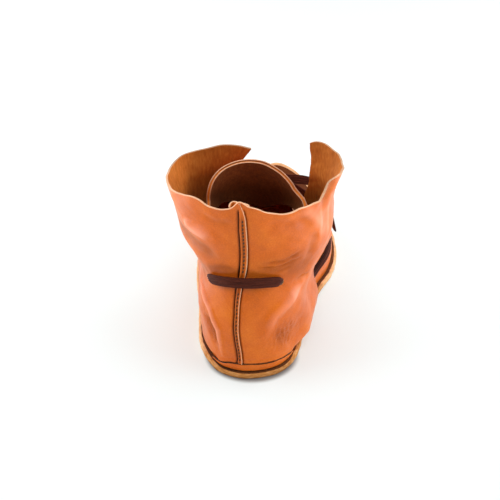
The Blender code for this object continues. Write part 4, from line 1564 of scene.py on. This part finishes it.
    def quarters(self) -> None:
        """The shaft's wall, with round holes for the lace."""
        across, heights = self.places()
        relief = self.relief(across, heights)
        away = self.last.out_of_shaft(across, heights)
        grid = self.last.on_shaft(across, heights) + away * relief.pop("lift")[..., None]
        grid = grid + self.over_rand(across, heights)
        drop = np.zeros((grid.shape[0] - 1, grid.shape[1] - 1), bool)
        for place, height, size in self.holes:
            middle = self.last.on_shaft(place, height)
            out = self.last.out_of_shaft(place, height)
            flat = grid - middle
            flat = flat - (flat @ out)[..., None] * out
            far = np.linalg.norm(flat, axis=2)
            cell = (far[:-1, :-1] + far[1:, :-1] + far[:-1, 1:] + far[1:, 1:]) / 4
            same_side = np.sign(across[:-1, :-1]) == np.sign(place)
            gone = (cell < size) & same_side
            drop |= gone
            touch = np.zeros(far.shape, bool)
            kept = np.zeros(far.shape, bool)
            for i in (0, 1):
                for j in (0, 1):
                    rows = slice(i, i + gone.shape[0])
                    columns = slice(j, j + gone.shape[1])
                    touch[rows, columns] |= gone
                    kept[rows, columns] |= ~gone
            edge = touch & kept
            grid[edge] += flat[edge] * (size / far[edge] - 1.0)[:, None]
        made = sheet_of("leather_shaft", grid, relief)
        bpy.ops.object.mode_set(mode="EDIT")
        bpy.ops.mesh.select_mode(type="FACE")
        bpy.ops.mesh.select_all(action="DESELECT")
        bpy.ops.object.mode_set(mode="OBJECT")
        made.data.polygons.foreach_set("select", drop.ravel())
        bpy.ops.object.mode_set(mode="EDIT")
        bpy.ops.mesh.delete(type="FACE")
        bpy.ops.object.mode_set(mode="OBJECT")
        thicken(made, self.last.leather, (UPPER, FLESH, CUT))
        finished(made, (), ("shaft",))

    def strip_point(self, share: Array, height: Array, rise: Array | float) -> Array:
        """Points over the heel seam.

        Args:
            share: Places across the strip, from 0 at its left edge to 1 at its right.
            height: Heights.
            rise: Lift off the shaft.

        Returns:
            The points.
        """
        place = SEAM.read("middle", height) + SEAM.read("half", height) * (2.0 * share - 1.0)
        u = place * girth(height)
        folds = sum(self.deepen * fold.rise * fold.shape(u, height) for fold in FOLDS)
        folds = folds + unevenness(u, height)
        out = self.last.out_of_shaft(place, height)
        grid = self.last.on_shaft(place, height) + out * (rise + folds)[..., None]
        return grid + self.over_rand(place, height)

    def lap(self) -> None:
        """The lap of the left quarter over the right, with its raw edge."""
        share = np.array(self.lap_places)
        rise = np.interp(share, *self.lap_rise)
        top = float(RIM.read("height", 0.0)) - 0.4
        height = np.linspace(self.lap_foot, top, self.lap_rows)[:, None]
        height, share = np.broadcast_arrays(height, share[None, :])
        uneven = 0.12 * waves(height, share * 5.0, 7.0, 3)
        grid = self.strip_point(share, height, rise[None, :] + uneven)
        # Painted shade along the line of the stitches.
        channel_shade = 0.55 * bell(share - 0.4, 0.22) * (1.0 - ease(height, 127.0, 132.0))
        made = sheet_of("heel_lap", grid, {"shade": channel_shade})
        raw = share[:-1, :-1] >= self.raw_from
        made.data.polygons.foreach_set("material_index", np.where(raw, 2, 0).ravel())
        thicken(made, self.lap_thick, (UPPER, FLESH, CUT), 0.2)
        finished(made, (), ("heel_strip",))

    def stitches(self) -> None:
        """The thread down the lap, one model copied to every stitch."""
        deselect()
        bpy.ops.mesh.primitive_uv_sphere_add(segments=8, ring_count=6, radius=1.0)
        model = bpy.context.object
        ball = np.array([v.co[:] for v in model.data.vertices])
        stitches = []
        for height in np.arange(*self.stitch_run, self.stitch_pitch):
            if self.stitch_gap[0] < height < self.stitch_gap[1]:
                continue
            places = np.array((0.5, 0.53)), np.array((height, height + 1.0))
            middle, above = self.strip_point(*places, np.full(2, self.stitch_rise))
            out = self.last.out_of_shaft(0.0, height)
            along = unit(above - middle)
            beside = np.cross(along, out)
            copy = model.copy()
            copy.data = model.data.copy()
            bpy.context.scene.collection.objects.link(copy)
            points = middle + ball * self.stitch_half @ np.array((along, beside, out))
            copy.data.vertices.foreach_set("co", (points * MM).ravel())
            stitches.append(copy)
        bpy.data.objects.remove(model, do_unlink=True)
        made = join("heel_stitches", stitches)
        bpy.ops.object.shade_smooth()
        finished(made, (THREAD,))

    def curls(self) -> None:
        """The two loose ends of the seam's inner leather, curled over inside the collar."""
        parts = []
        for side, rows in (("left", CURL_LEFT_ROWS), ("right", CURL_RIGHT_ROWS)):
            line = spread(through(rows, 12), 60)
            share = np.linspace(0.0, 1.0, 12)[:, None, None]
            foot = line + (0.0, 0.0, -self.curl_tall)
            foot[:, :2] = line[:, :2] * 0.5 + (0.0, 0.5 * self.curl_foot)
            grid = line[None] * share + foot[None] * (1 - share)
            sheet = sheet_of(f"curl_{side}", grid)
            thicken(sheet, self.curl_thick, (UPPER, FLESH, CUT), 0.25)
            parts.append(sheet)
        made = join("seam_curls", parts)
        finished(made)

    def build(self) -> None:
        """Builds the shaft and its seam."""
        self.quarters()
        self.lap()
        self.stitches()
        self.curls()


@dataclass
class Vamp:
    """The front of the upper: hollow, open at the throat and underneath."""

    last: Last
    throat: float = 98.0
    back: float = 24.0
    throat_power: float = 2.2
    rise_power: float = 0.94
    side_power: float = 0.78
    belly: float = 4.2
    belly_run: tuple[Point, Point] = ((46.0, 68.0), (110.0, 185.0))
    right_swell: float = 0.25
    # Creases of the flexing forefoot: place along the shoe, rise and width in millimetres, and slant.
    creases: tuple[Point, ...] = (
        (132.0, -1.3, 4.0, 0.10),
        (141.0, 0.9, 4.5, 0.06),
        (150.0, -1.1, 3.6, -0.05),
        (159.0, 0.6, 4.0, -0.08),
        (121.0, -0.7, 3.0, 0.16),
    )
    steps: int = 33
    stations: int = 110

    def points(self, stations: Array) -> Array:
        """Points of the vamp's outside, in columns from the left foot over to the right.

        Args:
            stations: Shares of the way from the throat to the toe.

        Returns:
            Points in rows for the stations.
        """
        last = self.last
        tip = UPPER_TIP[1] - last.upper_inset
        side = np.linspace(-1.0, 1.0, self.steps)
        climb = 1.0 - np.abs(side)
        start = self.back + (self.throat - self.back) * np.sin(climb * math.pi / 2) ** self.throat_power
        along = start[None, :] + (tip - start[None, :]) * stations[:, None]
        mix = ease(along, 47.0, 62.0)
        edges = []
        for number in (0, 1):
            read = []
            for foot in (last.vamp_inset, last.upper_inset):
                line = last.sides(UPPER_OUTLINE, UPPER_TIP, foot)[number]
                scale = (line[-1, 1] - last.toe_from) / (tip - last.toe_from)
                asked = last.toe_from + (along - last.toe_from) * scale
                asked = np.where(along > last.toe_from, asked, along)
                read.append(np.interp(asked, line[:, 1], line[:, 0]))
            edges.append((1 - mix) * read[0] + mix * read[1])
        end = RIDGE.rows[-1]
        past = np.clip((along - end[0]) / (tip - end[0]), 0.0, 1.0)
        crown = np.where(
            along > end[0], end[1] * np.sqrt(np.maximum(1.0 - past**2, 0.0)), RIDGE.read("crown", along)
        )
        crown = np.maximum(crown, 1e-3)
        ridge = RIDGE.read("across", along)
        first = np.minimum(last.step_from, 0.3 * crown)
        second = np.minimum(last.step_to, 0.5 * crown)
        step = 2.0 / (self.steps - 1)
        low = np.arcsin((second / crown) ** (1 / self.rise_power))
        angle = low + (math.pi / 2 - low) * np.clip((climb - 2 * step) / (1 - 2 * step), 0.0, 1.0)
        angle = np.where(climb < 1.5 * step, np.arcsin((first / crown) ** (1 / self.rise_power)), angle)
        angle = np.where(climb < 0.5 * step, 0.0, angle)
        height = crown * np.sin(angle) ** self.rise_power
        swell = (last.upper_inset - last.bulge_inset) * mix * ease(tip - along, 0.0, 30.0)
        swell = swell * ease(height, last.step_from, last.step_to)
        left = side[None, :] < 0
        edge = np.where(left, edges[0] - swell, edges[1] + self.right_swell * swell)
        belly = self.belly * between(along, *self.belly_run) * np.sin(2 * angle)
        belly = belly * ease(height, last.step_from, 4 * last.step_to)
        out = np.where(left, -belly, last.sag(along, height - 1.0))
        across = ridge + (edge - ridge) * np.cos(angle) ** self.side_power + out
        points = lift(np.stack([across, along], axis=-1), last.feather + height)
        points[stations >= 1.0] = (UPPER_TIP[0], tip, last.feather)
        return points

    def build(self) -> None:
        """Builds the vamp with the soft creases of the flexing forefoot."""
        stations = np.sin(np.linspace(0.0, math.pi / 2, self.stations)) ** 0.95
        flat = np.stack([through(line, 4) for line in self.points(stations)])
        along, across = flat[..., 1], flat[..., 0]
        high = ease(flat[..., 2], 18.0, 34.0)
        crease = np.zeros(along.shape)
        for place, rise, wide, lean in self.creases:
            wander = place + lean * across + 2.2 * waves(across, along * 0.0 + place, 34.0, int(place))
            crease += rise * bell(along - wander, wide)
        crease = crease * high
        soft = 0.4 * waves(across, along, 30.0, 8) * high
        grid = self.last.bend(flat)
        relief = (crease + soft) * ease(1.0 - stations, 0.0, 0.04)[:, None]
        grid = grid + normals_of(grid) * relief[..., None]
        # The crease heights also paint shade into the troughs and light onto the ridges.
        made = sheet_of("leather_vamp", grid, {"crease": crease})
        thicken(made, self.last.leather, (UPPER, FLESH, CUT))
        finished(made, (), ("vamp",))


@dataclass
class Tongue:
    """The arched tongue: two thin leathers, one behind the other, open to the heel."""

    last: Last
    layer: float = 0.9
    apart: float = 2.2
    # Its right end leans outward by so much, which starts and is full at these turns, in degrees.
    splay: float = 4.5
    splay_run: Point = (54.0, 92.0)
    # Low down shade is painted on it by so much, which fades out between these heights.
    dark: float = 0.62
    dark_run: Point = (88.0, 116.0)
    columns: int = 90
    rows: int = 46

    def build(self) -> None:
        """Builds the outer and the inner leather as one piece."""
        turns = np.linspace(TONGUE_EDGES.rows[0][0], TONGUE_EDGES.rows[-1][0], self.columns)
        bottom, top = TONGUE_EDGES.read("bottom", turns), TONGUE_EDGES.read("top", turns)
        share = np.linspace(0.0, 1.0, self.rows)[:, None]
        height = bottom[None, :] + share * (top - bottom)[None, :]
        row = {name: TONGUE_SECTIONS.read(name, height) for name in TONGUE_SECTIONS.columns}
        angle = np.radians(turns)[None, :]
        across = row["half_width"] * np.sin(angle) - 1.0
        along = row["middle"] + row["depth"] * np.cos(angle)
        outer = lift(np.stack([across, along], axis=-1), height)
        heelward = normals_of(outer)
        out = self.splay * ease(turns, *self.splay_run)[None, :] * share
        wobble = 0.15 * waves(turns[None, :] * 0.6, height, 16.0, 4)
        # Painted shade, deepest low down inside the tongue.
        shade = self.dark * (1.0 - ease(height, *self.dark_run))
        parts = []
        for name, inward in (("front", -out), ("back", self.apart - out)):
            place = outer + heelward * (inward + wobble + self.layer)[..., None]
            sheet = sheet_of(f"tongue_{name}", place, {"shade": shade})
            thicken(sheet, self.layer, (SHADED_FLESH, UPPER, WORN_CUT), 0.25)
            parts.append(sheet)
        # The open edges between the two leathers are filled, one point in from each edge.
        front, back = (
            outer + heelward * (far - out + wobble)[..., None] for far in (self.layer, self.apart)
        )
        line = [(r, 1) for r in range(self.rows - 1)]
        line += [(self.rows - 2, c) for c in range(1, self.columns - 1)]
        line += [(r, self.columns - 2) for r in range(self.rows - 2, -1, -1)]
        rows, columns = np.array(line).T
        share = np.linspace(-0.1, 1.1, 5)[:, None, None]
        fill = sheet_of("tongue_fill", front[rows, columns] * (1 - share) + back[rows, columns] * share)
        thicken(fill, 0.4, (FLESH,) * 3, 0.0)
        parts.append(fill)
        made = join("leather_tongue", parts)
        finished(made, (), ("tongue",))


@dataclass
class Bottom:
    """The sole, the rand at the back of the heel, and the sock inside."""

    last: Last
    stations: int = 210
    arch_lift: float = 1.5
    arch: tuple[float, float] = (36.0, 94.0)
    groove: float = 1.3
    sock_thick: float = 2.2
    sock_inset: float = 9.2
    sock_edge: float = 1.9
    # Marks of the sole: the edge is paler at the sides, and darkened with painted shade at the heel and
    # along its foot; the edge on the right of the arch is darker than the rest; and the top is lighter and
    # redder inside the tip.
    heel_run: Point = (-34.0, -8.0)
    right_across: Point = (18.0, 34.0)
    right_along: Point = (60.0, 110.0)
    tip_run: Point = (205.0, 235.0)

    def slab(
        self,
        name: str,
        outline: Table,
        tip: Point,
        rings: tuple[Point, ...],
        across: int,
        nearer: float = 0.0,
    ) -> bpy.types.Object:
        """A flat piece cut to an outline, bent with the toe.

        Args:
            name: Name of the piece.
            outline: Table of its outline.
            tip: Its toe point.
            rings: Inset and height of each line round its edge, from the top face to the underside.
            across: Points across a face.
            nearer: How much nearer to the edge the first ring comes where the rand stands.

        Returns:
            The closed piece, with material 0 on top, 1 on its edge and 2 underneath.
        """
        turn = np.linspace(0.0, math.pi, self.stations)
        share = 0.7 * (0.5 - 0.5 * np.cos(turn)) + 0.3 * np.linspace(0.0, 1.0, self.stations)
        lines = []
        for number, (inset, height) in enumerate(rings):
            left, right = self.last.sides(outline, tip, inset, self.last.fine)
            if nearer and not number:
                outer = self.last.sides(outline, tip, inset - nearer, self.last.fine)
                for side, other, sign in ((left, outer[0], -1.0), (right, outer[1], 1.0)):
                    beside = ease(self.last.rand_height(sign * distances(side)), 0.6, 3.5)[:, None]
                    side += (other - side) * beside
            pick = np.rint(share * (self.last.fine - 1)).astype(int)
            uneven = 0.22 * waves(left[pick, 1], np.full(self.stations, 7.0 * number), 9.0, 20 + number)
            uneven = uneven * ease(share, 0.0, 0.01) * ease(1.0 - share, 0.0, 0.01)
            wide = np.maximum(right[pick, 0] - left[pick, 0], 1e-6)
            shift = np.minimum(uneven, 0.2 * wide)[:, None] * (1.0, 0.0)
            lines.append((lift(left[pick] - shift, height), lift(right[pick] + shift, height)))
        t = np.linspace(0.0, 1.0, across)[None, 1:-1, None]
        top = lines[0][0][:, None] * (1 - t) + lines[0][1][:, None] * t
        under = lines[-1][1][:, None] * (1 - t) + lines[-1][0][:, None] * t
        right_edge = np.stack([line[1] for line in lines], axis=1)
        left_edge = np.stack([line[0] for line in lines[::-1]], axis=1)
        grid = np.concatenate([top, right_edge, under, left_edge, top[:, :1]], axis=1)
        hollow = np.clip((grid[..., 1] - self.arch[0]) / (self.arch[1] - self.arch[0]), 0.0, 1.0)
        low = (grid[..., 2] < 0.5) & (len(rings) > 3)
        grid[..., 2] += np.where(low, self.arch_lift * np.sin(math.pi * hollow) ** 2, 0.0)
        faces = across - 2
        made = sheet_of(name, self.last.bend(grid), self.sole_marks(grid, faces))
        edges = len(rings) - 1
        kinds = [0] * faces + [1] * edges + [2] * (faces + 1) + [1] * edges + [0]
        made.data.polygons.foreach_set("material_index", np.tile(kinds, self.stations - 1))
        close_up(made)
        return made

    def sole_marks(self, grid: Array, faces: int) -> dict[str, Array]:
        """Works out the marks on a slab: the painted light and shade of its edge and the tones of its top.

        Args:
            grid: Its points before the toe is bent, from the top face round to the underside.
            faces: How many columns of them are on the top face.

        Returns:
            Marks for the material.
        """
        heel = 1.0 - ease(grid[..., 1], *self.heel_run)
        # Painted shadow along the foot of the edge, reaching higher at the heel.
        under_edge_shade = 1.0 - ease(grid[..., 2], 0.2, 1.2 + 1.6 * heel)
        right = ease(grid[..., 0], *self.right_across) * (1.0 - ease(grid[..., 1], *self.right_along))
        # Paler sides, and a heel edge darkened with painted shade.
        crease = 1.8 - 2.6 * heel - 1.5 * right
        crease[:, :faces] = 2.8 * ease(grid[:, :faces, 1], *self.tip_run)
        return {"crease": crease, "shade": (0.4 + 0.3 * heel) * under_edge_shade}

    def rand(self) -> None:
        """The low strip on edge at the back of the heel, its top edge cut by eye."""
        last, keys = self.last, RAND.column("along")
        along = np.linspace(keys[0], keys[-1], 150)
        tall = last.rand_height(along)
        uneven = 0.3 * waves(along, along * 0.0, 15.0, 31) + 0.12 * waves(along, along * 0.0, 5.0, 32)
        tall = tall + uneven * ease(tall, 0.8, 4.0)
        lines = []
        for inset, share in (
            (0.0, 0.0),
            (0.0, 0.12),
            (-0.25, 0.3),
            (-0.3, 0.6),
            (-0.1, 0.88),
            (0.4, 1.0),
            (last.rand_thick - 0.4, 1.0),
            (last.rand_thick, 0.9),
            (last.rand_thick, 0.0),
            (0.0, 0.0),
        ):
            left, right = last.sides(UPPER_OUTLINE, UPPER_TIP, last.margin + inset, last.fine)
            ring = np.concatenate([left[::-1], right[1:]])
            place = distances(ring)
            asked = along * (1.0 - inset / 40.0) + place[len(left) - 1]
            plan = np.stack([np.interp(asked, place, ring[:, k]) for k in (0, 1)], axis=1)
            lines.append(lift(plan, last.feather + share * tall))
        grid = np.stack(lines)
        ends = np.repeat(grid.mean(axis=0, keepdims=True), len(grid), axis=0)
        grid = np.concatenate([ends[:, :1], grid, ends[:, -1:]], axis=1)
        made = sheet_of("leather_rand", grid)
        # Its lowest band and its top edge take the sole's dark top, as painted shade in the gaps below and
        # above it.
        kinds = np.array([1, 0, 0, 0, 1, 1, 1, 0, 0])
        made.data.polygons.foreach_set("material_index", np.repeat(kinds, grid.shape[1] - 1))
        close_up(made)
        finished(made, (UPPER, SOLE_TOP), ("rand",))

    def build(self) -> None:
        """Builds the sole, the rand and the sock."""
        thick = self.last.sole_thick
        # The first ring leaves a dark margin of the top outside the upper, a line of painted shade below
        # it.
        rings = (
            (2.0, thick),
            (0.55, thick),
            (0.2, thick - 0.35),
            (0.0, thick * 0.72),
            (0.05, thick * 0.5),
            (0.0, thick * 0.3),
            (0.4, 0.75),
            (1.5, 0.0),
        )
        made = self.slab("leather_sole", SOLE_OUTLINE, SOLE_TIP, rings, 26, self.groove)
        finished(made, (SOLE_TOP, SOLE_EDGE, SOLE_UNDER), ("sole",))
        low, inset = self.last.feather, self.sock_inset
        sock = ((inset + 0.3, low + self.sock_thick), (inset, low + self.sock_edge), (inset, low))
        made = self.slab("leather_sock", UPPER_OUTLINE, UPPER_TIP, sock, 20)
        finished(made, (FLESH, CUT, FLESH), ("insole",))
        self.rand()


@dataclass
class Studio:
    """Camera, pale floor and soft light."""

    eye: Point = (90.2, -626.1, 448.5)
    down: float = 30.0
    turn: float = 8.0
    lens: float = 74.2
    sky: float = 0.21
    # Round the heel a shadow of the sole is painted on the paper: its middle, where it starts and where it
    # is full, how far its pattern reaches, and the paper's tone and glow outside and inside it.
    heel_middle: Point = (5.0, -9.5)
    painted_heel_shadow: tuple[float, float] = (36.4, 31.0)
    heel_reach: float = 60.0
    paper: tuple[str, str] = ("#c6d0d0", "#7c6f68")
    paper_glow: tuple[float, float] = (0.32, 0.1)
    # Soft boxes: place, what it looks at, side length, in millimetres, and power in watts.
    boxes: tuple[tuple[Point, Point, float, float], ...] = (
        ((100.0, 150.0, 1500.0), (0.0, 40.0, 60.0), 1300.0, 11.5),
        ((-1250.0, -250.0, 620.0), (0.0, 20.0, 70.0), 1000.0, 10.5),
        ((1250.0, -150.0, 560.0), (0.0, 20.0, 70.0), 1000.0, 7.8),
        ((250.0, -1350.0, 1000.0), (0.0, 0.0, 70.0), 1000.0, 5.0),
        ((-900.0, 900.0, 500.0), (0.0, 0.0, 70.0), 900.0, 7.0),
        ((900.0, 900.0, 500.0), (0.0, 0.0, 70.0), 900.0, 7.0),
        ((520.0, 80.0, 1.0), (520.0, 80.0, 500.0), 500.0, 2.8),
        ((-520.0, 80.0, 1.0), (-520.0, 80.0, 500.0), 500.0, 2.8),
    )

    def camera(self) -> None:
        """Sets the camera to the photograph's place and angle."""
        data = bpy.data.cameras.new("photo_view")
        data.lens, data.sensor_width = self.lens, 36.0
        data.clip_start = 0.01
        made = bpy.data.objects.new("photo_view", data)
        made.location = [v * MM for v in self.eye]
        made.rotation_euler = (math.radians(90.0 - self.down), 0.0, math.radians(self.turn))
        bpy.context.scene.collection.objects.link(made)
        bpy.context.scene.camera = made

    def light(self) -> None:
        """Adds the floor with its shadow painted round the heel, the white surroundings and the soft boxes.
        """
        bpy.context.scene.view_settings.view_transform = "Standard"
        deselect()
        bpy.ops.mesh.primitive_plane_add(size=8.0, location=(0.0, 0.0, -0.0002))
        floor = bpy.context.object
        floor.name = "pale_floor"
        paint = bpy.data.materials.new("white_paper")
        paint.use_nodes = True
        tree, reach = paint.node_tree, self.heel_reach
        shader = tree.nodes["Principled BSDF"]
        place = add_node(tree, "ShaderNodeTexCoord").outputs["Object"]
        middle = tuple(-v / reach for v in self.heel_middle) + (0.0,)
        scaled = {"Vector": place, "Location": middle, "Scale": (1.0 / (reach * MM),) * 3}
        heel = add_node(tree, "ShaderNodeMapping", scaled).outputs[0]
        near = add_node(tree, "ShaderNodeTexGradient", {"Vector": heel}, gradient_type="SPHERICAL")
        start, end = (1.0 - far / reach for far in self.painted_heel_shadow)
        # The painted shadow: darker paper and less glow near the heel.
        shadow = add_node(
            tree,
            "ShaderNodeMapRange",
            {"Value": near.outputs["Fac"], "From Min": start, "From Max": end},
            interpolation_type="SMOOTHSTEP",
        ).outputs[0]
        colours = {0: shadow, 6: hexed(self.paper[0]), 7: hexed(self.paper[1])}
        colour = add_node(tree, "ShaderNodeMix", colours, data_type="RGBA").outputs[2]
        tree.links.new(colour, shader.inputs["Base Color"])
        levels = {"Value": shadow, "To Min": self.paper_glow[0], "To Max": self.paper_glow[1]}
        glow = add_node(tree, "ShaderNodeMapRange", levels).outputs[0]
        tree.links.new(glow, shader.inputs["Emission Strength"])
        shader.inputs["Roughness"].default_value = 0.95
        shader.inputs["Emission Color"].default_value = hexed("#ffffff")
        floor.data.materials.append(paint)
        world = bpy.data.worlds.new("white_room")
        bpy.context.scene.world = world
        world.use_nodes = True
        back = world.node_tree.nodes["Background"]
        back.inputs["Color"].default_value = hexed("#ffffff")
        back.inputs["Strength"].default_value = self.sky
        for number, (place, goal, size, power) in enumerate(self.boxes):
            data = bpy.data.lights.new(f"soft_box_{number}", "AREA")
            data.size, data.energy = size * MM, power
            made = bpy.data.objects.new(f"soft_box_{number}", data)
            x, y, z = (b - a for a, b in zip(place, goal))
            made.location = [v * MM for v in place]
            made.rotation_euler = (math.atan2(math.hypot(x, y), -z), 0.0, math.atan2(y, x) - math.pi / 2)
            bpy.context.scene.collection.objects.link(made)


def main() -> None:
    """Builds the shoe in order, its camera and cords first."""
    logging.basicConfig(level=logging.INFO, format="%(name)s %(message)s")
    studio = Studio()
    studio.camera()
    last = Last()
    for assembly in (Thong(last), Shaft(last), Vamp(last), Tongue(last), Bottom(last)):
        assembly.build()
    studio.light()
    deselect()


if __name__ == "__main__":
    main()
